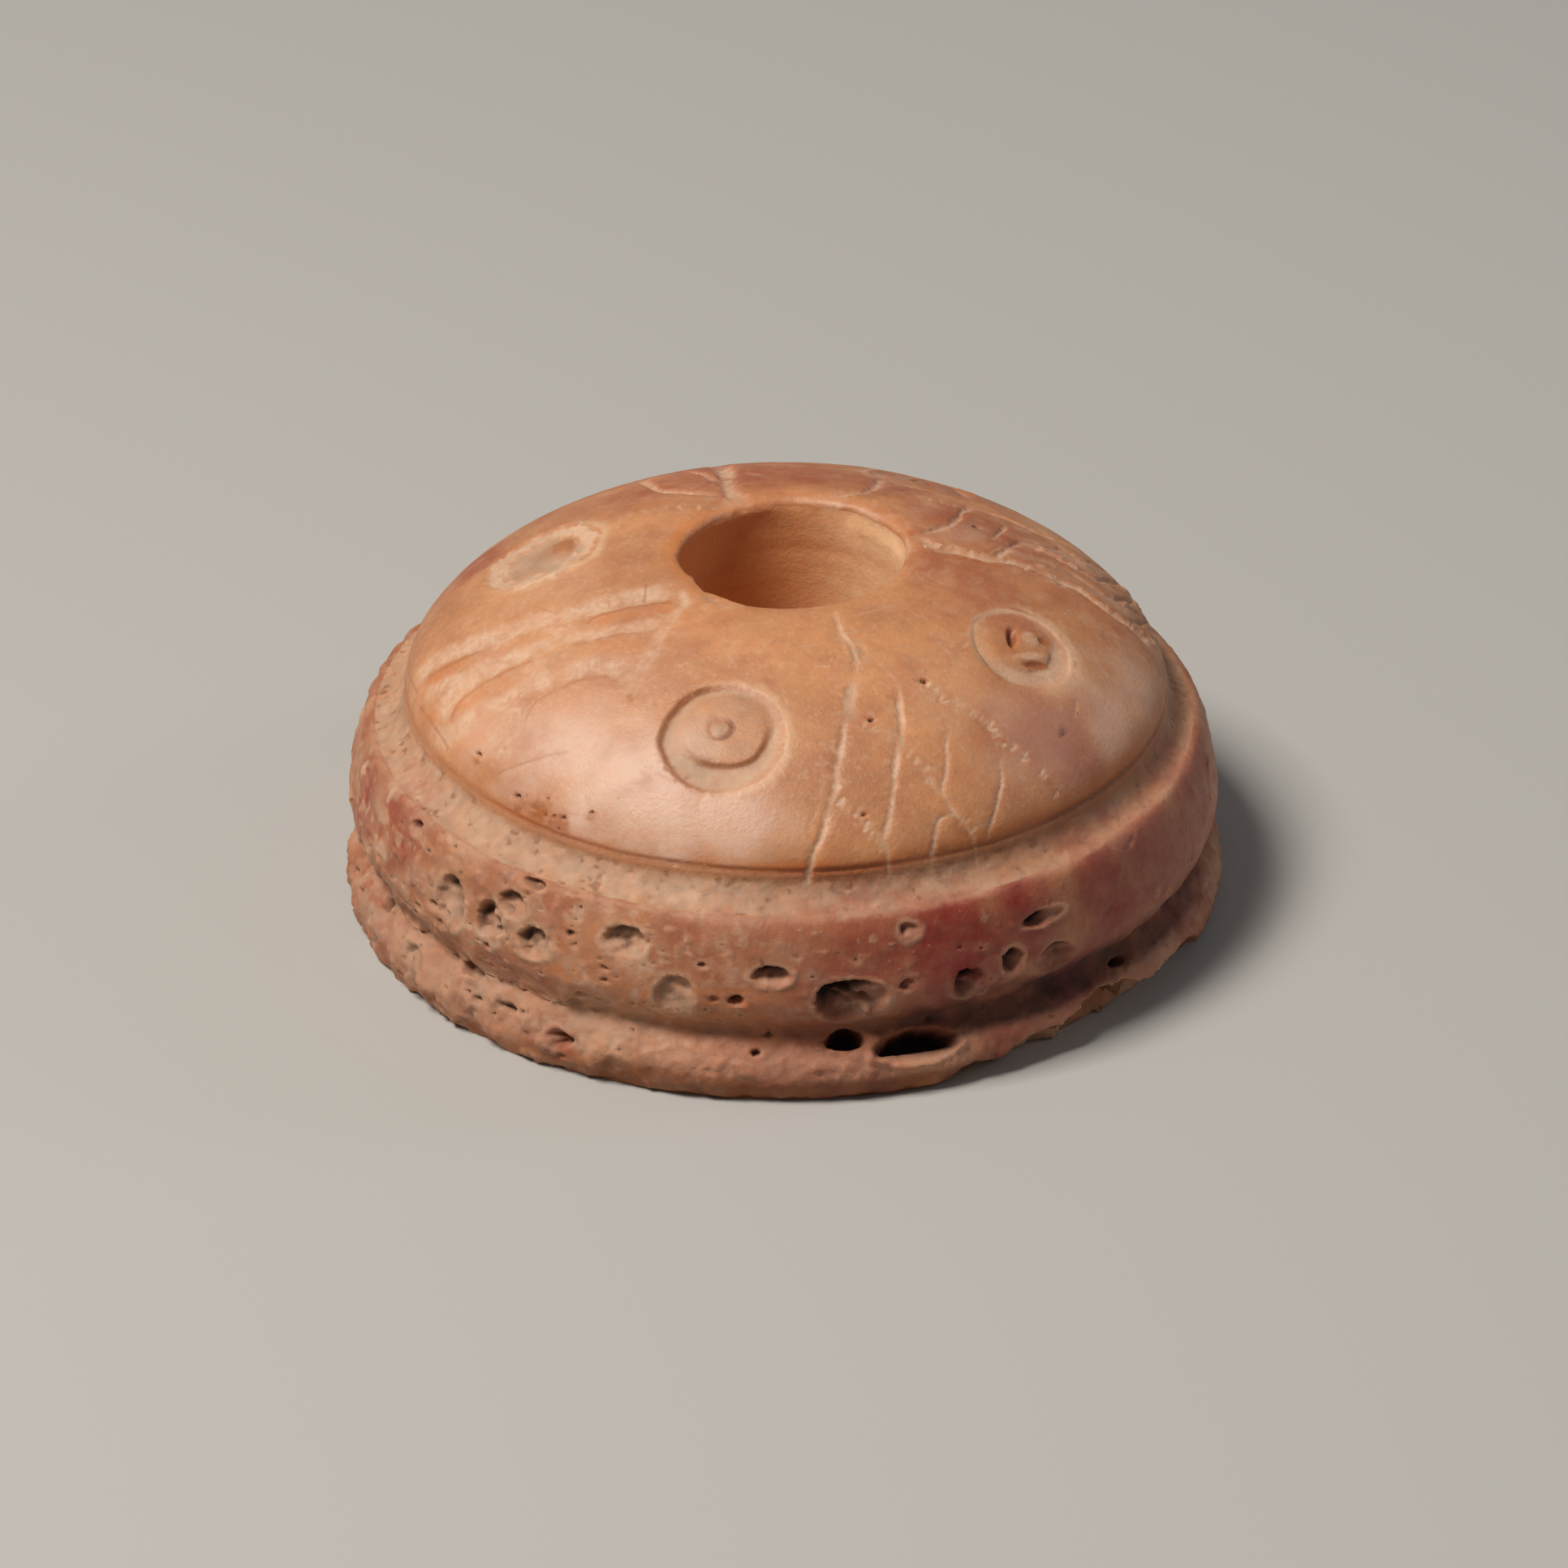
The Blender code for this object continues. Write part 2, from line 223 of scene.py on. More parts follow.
def spin_whorl():
    """Spin the outline once round and smooth it into a fine mesh, still in millimetres."""
    mesh_data = bmesh.new()
    corners = [mesh_data.verts.new((radius, 0.0, height)) for radius, height in OUTLINE]
    edges = [mesh_data.edges.new(pair) for pair in zip(corners, corners[1:] + corners[:1])]
    bmesh.ops.spin(
        mesh_data,
        geom=corners + edges,
        cent=(0.0, 0.0, 0.0),
        axis=(0.0, 0.0, 1.0),
        angle=math.tau,
        steps=TURNING_STEPS,
        use_merge=True,
    )
    bmesh.ops.recalc_face_normals(mesh_data, faces=mesh_data.faces)
    settle_order(mesh_data)
    mesh = bpy.data.meshes.new("turned bone")
    mesh_data.to_mesh(mesh)
    mesh_data.free()
    ends = np.empty(len(mesh.edges) * 2, np.int32)
    mesh.edges.foreach_get("vertices", ends)
    mesh.edges.foreach_set("vertices", np.sort(ends.reshape(-1, 2), axis=1).ravel())
    whorl = bpy.data.objects.new("carved_whorl", mesh)
    bpy.context.scene.collection.objects.link(whorl)
    subdivision = whorl.modifiers.new("fine turning", "SUBSURF")
    subdivision.levels = SUBDIVISIONS
    subdivision.render_levels = SUBDIVISIONS
    fine = finished_mesh(whorl)
    whorl.modifiers.remove(subdivision)
    whorl.data = fine
    return whorl


whorl = spin_whorl()
print(f"turned form: {len(whorl.data.vertices)} points")

# %% [markdown]
# ## A board to carve on
#
# From here on the bone is carved by moving the mesh's points, as a sculptor's tools would.
# All the points are read into tables at once. `carved` is how deep each point is to sink along
# its normal, `shifted` moves it sideways, and the layers say how much of each colour it gets:
# pale dust, grey ash, brown soil, amber where the bone glows, fresh pale bone and painted light,
# near-black grime and painted shade, the red blush, the pale fade and painted sheen, and how
# glossy it is. The finish reads those at the end, so colour and relief fit.

# %% Read the points
def read_vectors(mesh, name):
    """One property of every point of a mesh, such as its place, as rows of x, y, z."""
    values = np.empty(len(mesh.vertices) * 3, np.float32)
    mesh.vertices.foreach_get(name, values)
    return values.reshape(-1, 3).astype(float)


POINTS = read_vectors(whorl.data, "co")
NORMALS = read_vectors(whorl.data, "normal")
FROM_AXIS = np.hypot(POINTS[:, 0], POINTS[:, 1])
HEIGHTS = POINTS[:, 2]
AZIMUTHS = np.degrees(np.arctan2(POINTS[:, 1], POINTS[:, 0])) % 360.0

IN_BORE = FROM_AXIS < BORE_RADIUS + 0.02
ON_FLAT = (HEIGHTS < 0.02) & (FROM_AXIS < FLAT_EDGE_RADIUS + 0.05)
ON_DOME = (HEIGHTS > DOME_FOOT_HEIGHT - 0.1) & (FROM_AXIS > BORE_RADIUS + 0.02)
ON_SIDE = (HEIGHTS <= DOME_FOOT_HEIGHT) & (FROM_AXIS > DOME_FOOT_RADIUS - 0.02) & (HEIGHTS > 0.02)
ON_BAND = ON_SIDE & (HEIGHTS < RIDGE_HEIGHT + 0.05) & (FROM_AXIS > RIDGE_RADIUS - 0.15)

EVERYWHERE = slice(None)
carved = np.zeros(len(POINTS))
shifted = np.zeros_like(POINTS)
# shade_and_grime is near-black painted shade in deep holes, grooves and shaded places, and some dark grime
dust, ash, soil, amber, fresh_and_lit, shade_and_grime, blush, fade_and_sheen = (np.zeros(len(POINTS)) for _ in range(8))
gloss = np.ones(len(POINTS))


def ease(value, start, end):
    """0 up to start and 1 from end on, with a smooth step between; start may be the larger."""
    share = np.clip((value - start) / (end - start), 0.0, 1.0)
    return share * share * (3.0 - 2.0 * share)


def by_azimuth(stops, index=EVERYWHERE):
    """A value that changes evenly round the whorl between (azimuth, value) stops."""
    degrees, values = zip(*stops)
    return np.interp(AZIMUTHS[index], degrees, values, period=360.0)


# %% [markdown]
# Nothing on old bone is even, so every tool below wavers. `cloud` gives smooth random values
# from -1 to 1: a block of random numbers is laid over space, one for each grain, and each point
# reads a blend of the eight round it. The same seed always gives the same bone.

# %% Uneven values
TABLE = 32  # random numbers along each edge of the block
TABLE_SHIFT = 0.37  # keeps the planes between the numbers off the whorl's axis and flat side


def cloud(places, grain, seed):
    """Smooth random values from -1 to 1, whose lumps are about one grain (mm) across."""
    numbers = np.random.default_rng(seed).uniform(-1.0, 1.0, (TABLE, TABLE, TABLE))
    scaled = places / grain + TABLE_SHIFT
    cells = np.floor(scaled).astype(int)
    part = scaled - cells
    part = part * part * (3.0 - 2.0 * part)
    total = np.zeros(len(places))
    for corner in itertools.product((0, 1), repeat=3):
        index = (cells + corner) % TABLE
        weight = np.prod(np.where(corner, part, 1.0 - part), axis=1)
        total += weight * numbers[index[:, 0], index[:, 1], index[:, 2]]
    return total


def rough_cloud(places, grain, seed, layers=3):
    """Clouds of finer and finer grain added up, for broken and weathered surfaces."""
    total = np.zeros(len(places))
    for layer in range(layers):
        total += cloud(places, grain / 2**layer, seed + layer) / 2**layer
    return total


# %% [markdown]
# Each mark needs a place on the surface and directions to measure in: `along` runs round the
# whorl, `up` climbs the surface towards the crest, and the normal stands out of the bone.

# %% Places on the surface
def find_spot(azimuth, radius=None, height=None):
    """The surface point at an azimuth and a radius on the dome, or a height on the side."""
    turn = math.radians(azimuth)
    if radius is None:
        allowed, gap = ON_SIDE, HEIGHTS - height
    else:
        allowed, gap = ON_DOME, FROM_AXIS - radius
    swing = (AZIMUTHS - azimuth + 180.0) % 360.0 - 180.0
    miss = np.where(allowed, gap**2 + (np.radians(swing) * FROM_AXIS) ** 2, np.inf)
    nearest = int(np.argmin(miss))
    normal = NORMALS[nearest]
    along = np.array((-math.sin(turn), math.cos(turn), 0.0))
    return POINTS[nearest], along, np.cross(normal, along), normal


def around(centre, reach):
    """Indices of the points within reach of a centre."""
    rough = np.flatnonzero(np.abs(POINTS[:, 0] - centre[0]) < reach)
    near = POINTS[rough] - centre
    return rough[(near**2).sum(axis=1) < reach**2]


def sink(index, depth):
    """Carve the points down to a depth, unless they lie deeper already."""
    carved[index] = np.maximum(carved[index], depth)


def coat(layer, index, amount):
    """Lay dust, soil or a stain on points, unless they hold more of it already."""
    layer[index] = np.maximum(layer[index], np.clip(amount, 0.0, 1.0))


def wipe(index, share):
    """Take soil and blush away where something has cut through them."""
    for layer in (soil, amber, blush, shade_and_grime):
        layer[index] *= 1.0 - np.clip(share, 0.0, 1.0)


# %% [markdown]
# ## Ring-and-dot marks
#
# A bone worker cuts a ring-and-dot with a small bit that has a centre point and a side tooth:
# the point drills the dot, the tooth scrapes the ring. The scraped channel here is wide, and a
# low boss is left standing in it. The tool leaned, so the channel is deeper on its left, and
# the boss has a crisp wall only at its lower right. Those steep walls get soil and painted
# shade, and the rim across from them a paler painted light. One function makes every mark, and
# the table holds what differs: the third is worn and shallow, the fourth is at the back.

# %% Ring-and-dot marks
MARKS = [
    # azimuth, radius on the dome, outer radius, boss radius, boss shift (along, up), depth, wall,
    # how crisp, and the directions (degrees) in which the ring and the boss have their steep wall,
    # which gets soil and painted shade
    (258.2, 10.55, 2.27, 1.32, (0.12, 0.24), 0.19, 0.28, 1.00, 187.0, -62.0),
    (331.4, 9.67, 2.10, 1.20, (0.05, 0.26), 0.14, 0.34, 0.35, 142.0, -112.0),
    (168.3, 8.93, 2.35, 0.50, (-0.35, 0.72), 0.12, 0.36, 0.25, 244.0, 60.0),
    (57.0, 9.50, 2.10, 1.20, (0.00, 0.05), 0.18, 0.30, 0.80, 180.0, -60.0),
]


def turned_from(direction, aim, spread):
    """1 where a direction faces the aim, falling to 0 at the spread, all in degrees."""
    return ease(np.abs((direction - aim + 180.0) % 360.0 - 180.0), spread, spread * 0.4)


def cut_mark(number, azimuth, radius, outer, boss, shift, depth, wall, crisp, ring_aim, boss_aim):
    """Scrape one channel round its boss, let dust settle in it, and paint shade and light on it."""
    centre, along, up, _ = find_spot(azimuth, radius=radius)
    index = around(centre, outer + 0.9)
    places = POINTS[index]
    across, climb = (places - centre) @ along, (places - centre) @ up
    waver = 0.09 * cloud(places, 0.9, 100 + number) + 0.04 * cloud(places, 0.25, 110 + number)
    ring = np.hypot(across, climb) + waver
    core = np.hypot(across - shift[0], climb - shift[1]) + waver
    steep_ring = turned_from(np.degrees(np.arctan2(climb, across)), ring_aim, 125.0)
    steep_boss = turned_from(np.degrees(np.arctan2(climb - shift[1], across - shift[0])), boss_aim, 105.0)
    inside = ease(ring, outer, outer - wall * (1.8 - 1.1 * steep_ring))
    channel = inside * ease(core, boss, boss + wall * (2.6 - 2.0 * steep_boss))
    crumbs = rough_cloud(places, 0.35, 140 + number, layers=2)
    sink(index, depth * (0.70 + 0.30 * steep_ring) * channel + 0.22 * depth * inside)
    carved[index] += 0.012 * inside * crumbs
    lip = ease(ring, outer - 0.10, outer) * ease(ring, outer + 0.32, outer + 0.08)
    carved[index] -= 0.018 * max(crisp, 0.8) * lip
    # Painted light: the outer rim is paler on the side away from the steep wall, where light falls on it
    coat(fresh_and_lit, index, 0.40 * lip * (1.0 - steep_ring))
    coat(dust, index, 0.45 * lip * (1.0 - steep_ring))
    dusty = 0.72 + 0.12 * crisp + 0.25 * cloud(places, 0.5, 120 + number)
    coat(dust, index, channel * dusty * (1.0 - 0.25 * steep_ring))
    coat(ash, index, (0.3 + 0.7 * crisp) * channel * (0.22 + 0.34 * steep_ring + 0.25 * crumbs))
    coat(ash, index, 0.30 * crisp * inside * (1.0 + 0.6 * crumbs))
    # Soil and painted shade darken the steep walls of the ring and the boss, which face away from the light
    coat(soil, index, 0.62 * crisp * steep_ring * ease(np.abs(ring - outer + 0.10), 0.22, 0.02))
    coat(soil, index, 0.68 * crisp * steep_boss * ease(np.abs(core - boss - 0.06), 0.24, 0.02))
    coat(shade_and_grime, index, 0.16 * crisp * steep_boss * ease(np.abs(core - boss - 0.06), 0.16, 0.02))
    gloss[index] *= 1.0 - 0.5 * channel


for number, mark in enumerate(MARKS):
    cut_mark(number, *mark)
print(f"ring-and-dot marks: {len(MARKS)}")

# %% [markdown]
# Every dot is different. The first is a fine drilled ring, darkest on its right, where painted
# shade lies over its soil. The second was torn while it was drilled: two gaps gape in it, dark
# with soil and painted shade, with a pale lump and a pale ledge between them, and painted light
# on the ring's lit edge. The third has worn away to a brown knob on a grey floor. So each is a
# few ovals, laid out from the middle of its mark.

# %% Dots in the bosses
def on_mark(azimuth, radius, shift, reach):
    """Points round a spot on a mark, with how far along and up from the spot they lie."""
    centre, along, up, _ = find_spot(azimuth, radius=radius)
    index = around(centre, reach)
    across = (POINTS[index] - centre) @ along - shift[0]
    climb = (POINTS[index] - centre) @ up - shift[1]
    return index, across, climb


def oval(across, climb, middle, half_length, half_width, tilt, places, seed):
    """Distance from an oval's middle, 1 on its wavering edge; tilt turns it, in degrees."""
    turn = math.radians(tilt)
    east, north = across - middle[0], climb - middle[1]
    lengthwise = (east * math.cos(turn) + north * math.sin(turn)) / half_length
    sideways = (north * math.cos(turn) - east * math.sin(turn)) / half_width
    return np.hypot(lengthwise, sideways) + 0.22 * cloud(places, 0.25, seed)


def drill_ring(azimuth, radius, shift, size, width, depth, aim, darkness):
    """Cut a fine ring into a boss, brown with soil and darkest with painted shade on one side."""
    index, across, climb = on_mark(azimuth, radius, shift, 2.0)
    away = np.hypot(across, climb) + 0.05 * cloud(POINTS[index], 0.3, 140)
    ring = ease(np.abs(away - size), width, width * 0.2)
    darkest = turned_from(np.degrees(np.arctan2(climb, across)), aim, 120.0)
    sink(index, carved[index] + depth * ring)
    # Soil browns the ring, and painted shade darkens it most on its shaded side
    coat(soil, index, darkness * ring * (0.55 + 0.45 * darkest))
    coat(shade_and_grime, index, 0.45 * darkness * ring * darkest)
    coat(ash, index, 0.55 * ease(away, size * 1.7, size * 0.4))


def tear_dot(azimuth, radius):
    """Two gaps torn in a boss, with a lump and a ledge of pale bone between them."""
    index, across, climb = on_mark(azimuth, radius, (0.0, 0.0), 2.2)
    places = POINTS[index]
    bowl = oval(across, climb, (0.05, 0.20), 1.20, 1.10, 0.0, places, 150)
    coat(soil, index, 0.30 * ease(bowl, 1.1, 0.7))
    ash[index] *= 0.5
    away = np.hypot(across, climb) + 0.05 * cloud(places, 0.6, 154)
    direction = np.degrees(np.arctan2(climb, across))
    # Painted light: a pale, slightly raised arc on the ring's lit edge
    edge = ease(np.abs(away - 1.92), 0.17, 0.05) * turned_from(direction, 20.0, 190.0)
    carved[index] -= 0.03 * edge
    coat(dust, index, 0.60 * edge)
    coat(fresh_and_lit, index, 0.60 * edge)
    lump = ease(oval(across, climb, (0.62, 0.02), 0.44, 0.36, 29.0, places, 151), 1.15, 0.5)
    ledge = ease(oval(across, climb, (-0.20, -0.40), 0.85, 0.20, -32.0, places, 152), 1.2, 0.5)
    carved[index] -= 0.15 * lump + 0.06 * ledge
    coat(dust, index, 0.75 * np.maximum(lump, ledge))
    wipe(index, 0.9 * np.maximum(lump, ledge))
    for middle, length, width, tilt, depth, dark in (
        ((0.12, 0.53), 0.56, 0.20, 29.0, 0.32, 0.30),
        ((-0.34, -0.80), 0.60, 0.18, -38.0, 0.16, 0.10),
        ((1.06, -0.36), 0.26, 0.20, -40.0, 0.12, 0.15),
    ):
        gap = oval(across, climb, middle, length, width, tilt, places, 153)
        sink(index, depth * ease(gap, 1.15, 0.5))
        # Soil and painted shade darken the gaps
        coat(soil, index, 0.9 * ease(gap, 1.3, 0.8))
        coat(shade_and_grime, index, dark * ease(gap, 0.95, 0.4))


def wear_knob(azimuth, radius):
    """A brown knob left standing on a grey, gritty floor."""
    index, across, climb = on_mark(azimuth, radius, (0.0, 0.0), 2.4)
    places = POINTS[index]
    rest = oval(across, climb, (0.05, 0.0), 1.60, 1.50, 0.0, places, 159)
    sink(index, carved[index] + 0.06 * ease(rest, 1.15, 0.85))
    pale_ring = ease(np.abs(rest - 1.22), 0.26, 0.10)
    carved[index] -= 0.045 * pale_ring
    coat(dust, index, 0.95 * pale_ring)
    coat(fresh_and_lit, index, 0.35 * pale_ring)
    coat(ash, index, 0.56 * ease(rest, 1.1, 0.8) * (1.0 + 0.6 * cloud(places, 0.4, 162)))
    knob = oval(across, climb, (-0.35, 0.72), 0.66, 0.42, 12.0, places, 160)
    carved[index] -= 0.09 * ease(knob, 1.2, 0.3)
    coat(soil, index, 0.58 * ease(knob, 1.10, 0.75))
    coat(soil, index, 0.45 * ease(np.abs(knob - 1.0), 0.30, 0.05) * ease(climb, 0.5, 1.0))
    for middle, length, width, tilt, grey in (
        ((0.52, -0.98), 0.60, 0.30, 10.0, 0.80),
        ((-0.41, -0.47), 0.90, 0.55, 10.0, 0.60),
    ):
        floor = ease(oval(across, climb, middle, length, width, tilt, places, 161), 1.3, 0.5)
        coat(ash, index, grey * floor)
        sink(index, carved[index] + 0.03 * floor)


drill_ring(258.2, 10.55, (-0.12, 0.35), 0.40, 0.17, 0.04, -15.0, 0.75)
tear_dot(331.4, 9.67)
wear_knob(168.3, 8.93)
drill_ring(57.0, 9.50, (0.0, 0.05), 0.40, 0.16, 0.08, 0.0, 0.7)

# %% [markdown]
# ## Groove at the dome's foot
#
# Under the dome run two fine cut lines, brown with old soil, with a hair of light bone between
# them. On the left they are worn away. On the right, where the dome's foot lies in shade, soil
# and painted shade spread wider round them. The wide hollow below is smooth and pale on the
# left, gritty in front, and clean brown on the right, so its layers change with the azimuth. A
# pale line of dust and painted highlight runs along the crest of the ridge.

# %% Fine cut lines and the hollow
FIRST_LINE = 8.20
SECOND_LINE = 7.90
LINE_STAIN = [(0, 0.28), (262, 0.24), (280, 0.34), (330, 0.40)]
CREST_LINE = 7.07
LINE_HALF_WIDTH = 0.13
LINE_DEPTH = 0.055
LINE_STRENGTH = [
    (0, 0.8), (60, 0.6), (120, 0.6), (178, 0.35), (200, 0.3), (220, 0.45),
    (236, 1.0), (275, 1.1), (330, 1.2),
]
LINE_GREY = [(0, 0.5), (150, 0.3), (255, 0.0), (300, 0.35), (340, 0.5)]
FOOT_SOIL_AND_SHADE = [(0, 0.4), (180, 0.1), (255, 0.1), (285, 0.50), (302, 0.85), (325, 0.70), (345, 0.40)]
HOLLOW_DUST = [(0, 0.5), (60, 0.5), (150, 0.6), (185, 0.70), (262, 0.72), (296, 0.62), (315, 0.45)]
HOLLOW_ASH = [(0, 0.15), (150, 0.40), (262, 0.44), (296, 0.44), (312, 0.30), (345, 0.15)]
HOLLOW_SOIL = [(0, 0.3), (60, 0.3), (150, 0.2), (185, 0.12), (290, 0.14), (306, 0.36), (345, 0.30)]
CREST_DUST_AND_HIGHLIGHT = [(0, 0.4), (60, 0.1), (180, 0.0), (262, 0.0), (286, 0.45), (300, 0.75), (335, 0.70)]
HOLLOW_GRIT = [(0, 0.2), (180, 0.25), (262, 0.35), (274, 0.9), (296, 1.0), (304, 0.35), (330, 0.2)]
ORANGE_REACH = [(0, 9.2), (200, 8.55), (262, 8.6), (290, 8.9), (340, 9.3)]


def cut_foot_lines():
    """Two fine lines round the dome's foot with painted shade, and dust, grit and a painted highlight in the
    hollow under them.
    """
    index = np.flatnonzero((HEIGHTS < 8.95) & (HEIGHTS > 6.75) & (FROM_AXIS > 13.2))
    places = POINTS[index]
    height = HEIGHTS[index] + 0.035 * cloud(places, 2.5, 700) + 0.015 * cloud(places, 0.3, 701)
    strength = by_azimuth(LINE_STRENGTH, index) * (0.85 + 0.3 * cloud(places, 3.0, 702))
    streaks = cloud(places * (0.15, 0.15, 1.0), 0.16, 706)
    hollow = ease(height, 7.98, 7.80) * ease(height, 6.80, 7.06)
    patchy = 0.85 + 0.35 * cloud(places, 0.8, 703) + 0.25 * streaks + 0.45 * cloud(places, 0.20, 708)
    coat(dust, index, hollow * by_azimuth(HOLLOW_DUST, index) * patchy)
    coat(ash, index, hollow * by_azimuth(HOLLOW_ASH, index) * (1.0 + 0.9 * cloud(places, 0.30, 709)))
    coat(soil, index, hollow * by_azimuth(HOLLOW_SOIL, index) * (1.0 + 0.5 * cloud(places, 0.8, 711)))
    grit = by_azimuth(HOLLOW_GRIT, index) * hollow
    fine_grit = rough_cloud(places, 0.24, 710, layers=2)
    sink(index, hollow * (0.040 + 0.012 * streaks + 0.040 * fine_grit))
    sink(index, 0.045 * grit * (1.2 + rough_cloud(places, 0.35, 704)))
    specks = ease(rough_cloud(places, 0.22, 707, layers=2), 0.05, 0.6) * ease(height, 7.25, 7.55)
    coat(shade_and_grime, index, 0.34 * grit * specks)
    specks = hollow * ease(fine_grit + 0.6 * cloud(places, 0.9, 712), 0.55, 1.0) * (HEIGHTS[index] > 7.05)
    coat(soil, index, 0.60 * specks)
    coat(shade_and_grime, index, 0.26 * specks)
    coat(ash, index, 0.55 * grit * ease(height, 7.15, 7.6))
    coat(soil, index, 0.35 * grit * ease(height, 7.35, 7.7))
    bead = ease(np.abs(height - 0.5 * (FIRST_LINE + SECOND_LINE)), 0.12, 0.03)
    coat(dust, index, 0.45 * bead * strength)
    # Soil stains the cuts, and painted shade greys them where LINE_GREY gives it, most on the right
    for line, share in ((FIRST_LINE, 1.0), (SECOND_LINE, 0.55)):
        cut = ease(np.abs(height - line), LINE_HALF_WIDTH, LINE_HALF_WIDTH * 0.2)
        sink(index, LINE_DEPTH * share * cut * strength)
        stained = by_azimuth(LINE_STAIN, index)
        coat(soil, index, 0.95 * share * strength * ease(np.abs(height - line), stained, 0.3 * stained))
        coat(shade_and_grime, index, 0.45 * share * strength * by_azimuth(LINE_GREY, index) * cut)
    # Soil above and under the lines, which under the dome's foot on the right is also painted shade
    above = ease(height, 8.10, 8.26) * ease(height, by_azimuth(ORANGE_REACH, index), 8.35)
    uneven = 0.7 + 0.6 * cloud(places, 1.5, 705)
    coat(amber, index, 0.80 * above * strength * uneven)
    coat(soil, index, 0.85 * above * by_azimuth(FOOT_SOIL_AND_SHADE, index) * uneven)
    under = ease(height, 7.98, 7.85) * ease(height, 7.40, 7.70)
    coat(soil, index, 0.85 * under * by_azimuth(FOOT_SOIL_AND_SHADE, index) * uneven)
    coat(shade_and_grime, index, 0.12 * under * by_azimuth(FOOT_SOIL_AND_SHADE, index))
    # Painted highlight: a pale line of dust along the crest of the ridge, where its edge catches the light
    crest = ease(np.abs(HEIGHTS[index] - CREST_LINE + 0.06 * cloud(places, 1.2, 713)), 0.15, 0.04)
    crest *= by_azimuth(CREST_DUST_AND_HIGHLIGHT, index)
    carved[index] -= 0.03 * crest
    wipe(index, 0.6 * crest)
    coat(dust, index, 0.75 * crest * (1.0 + 0.4 * cloud(places, 0.5, 714)))
    gloss[index] *= 1.0 - 0.5 * hollow * by_azimuth(HOLLOW_DUST, index) - 0.4 * grit


cut_foot_lines()
print("foot lines and hollow: two lines, with dust and grit")

# %% [markdown]
# ## Strokes
#
# Between the rings the dome is scratched freehand: long thin lines in front, broad shallow
# flutes on the left, and tangled lines at the back and on the right. Each stroke is a few
# points in plan, which a smooth curve joins and the surface lifts to its own height. Depth and
# width waver, the stroke runs out thin at both ends, and pale dust has settled in it.

# %% Stroke tool
def measure_route(route, places):
    """Distance of places from a route, and how far along the route each lies."""
    gap = np.full(len(places), np.inf)
    travel = np.zeros(len(places))
    done = 0.0
    for start, end in zip(route, route[1:]):
        run = end - start
        length = max(np.linalg.norm(run), 1e-6)
        share = np.clip((places - start) @ run / length**2, 0.0, 1.0)
        distance = np.linalg.norm(places - start - share[:, None] * run, axis=1)
        closer = distance < gap
        gap[closer] = distance[closer]
        travel[closer] = done + share[closer] * length
        done += length
    return gap, travel, done


def lift_to_top(plan):
    """Plan points (x, y) with the height of the dome or the hollow added."""
    plan = np.array(plan, float)
    radius = np.hypot(plan[:, 0], plan[:, 1])
    heights = np.where(radius < DOME_FOOT_RADIUS, dome_height(radius), hollow_height(radius))
    return np.column_stack([plan, heights])


def lift_to_side(route):
    """Points (azimuth, height) on the side as places in space."""
    turns, heights = np.radians([spot[0] for spot in route]), np.array([spot[1] for spot in route])
    radius = np.interp(heights, SIDE_OUTLINE[::-1, 1], SIDE_OUTLINE[::-1, 0])
    return np.column_stack([radius * np.cos(turns), radius * np.sin(turns), heights])


def points_near(route, margin):
    """Indices of the points in the box round a route, leaving out the bore and the flat."""
    inside = (POINTS >= route.min(axis=0) - margin) & (POINTS <= route.max(axis=0) + margin)
    return np.flatnonzero(inside.all(axis=1) & (ON_DOME | ON_SIDE))


def cut_stroke(route, width, depth, dusty, seed, softness=0.55, end_length=0.8):
    """Scratch one stroke along a route, with a low burr on its edges, and let dust settle in it."""
    index = points_near(route, width + 0.3)
    places = POINTS[index]
    waver = np.column_stack([cloud(places, 0.7, seed + shift) for shift in range(3)])
    gap, travel, length = measure_route(route, places + 0.07 * waver)
    gap = gap + 0.025 * cloud(places, 0.18, seed + 6)
    unevenness = cloud(places, 0.8, seed + 3)
    half = width / 2 * (1.0 + 0.28 * unevenness + 0.25 * cloud(places, 0.2, seed + 4))
    share = gap / half
    ends = ease(travel, 0.0, end_length) * ease(length - travel, 0.0, end_length)
    trough = ease(share, 1.25, 1.0 - softness) * (0.3 + 0.7 * ends) * (1.0 + 0.3 * unevenness)
    sink(index, depth * trough)
    burr = ease(share, 0.9, 1.25) * ease(share, 1.9, 1.4) * ends
    carved[index] -= 0.30 * (1.0 - softness) * depth * burr
    settled = ease(share, 1.3, 1.05 - softness) * (0.35 + 0.65 * ends)
    grains = 0.40 * cloud(places, 0.30, seed + 5) + 0.45 * cloud(places, 0.14, seed + 7)
    settled *= np.clip(0.92 + grains + 0.25 * unevenness, 0.0, 1.2)
    coat(dust, index, dusty * settled)
    wipe(index, 0.9 * dusty * settled)
    gloss[index] *= 1.0 - 0.4 * settled


def tint_stroke(layer, route, width, strength, seed, softness=0.7):
    """Lay one colour along a route, with wandering edges and no relief."""
    index = points_near(route, width + 0.3)
    places = POINTS[index]
    waver = np.column_stack([cloud(places, 0.8, seed + shift) for shift in range(3)])
    gap, travel, length = measure_route(route, places + 0.12 * width * waver)
    ends = ease(travel, 0.0, 0.3 * width) * ease(length - travel, 0.0, 0.3 * width)
    share = gap / (width / 2) * (1.0 + 0.25 * cloud(places, 0.35, seed + 4))
    coat(layer, index, strength * ease(share, 1.2, 1.0 - softness) * (0.4 + 0.6 * ends))


CURVE_STEPS = 5


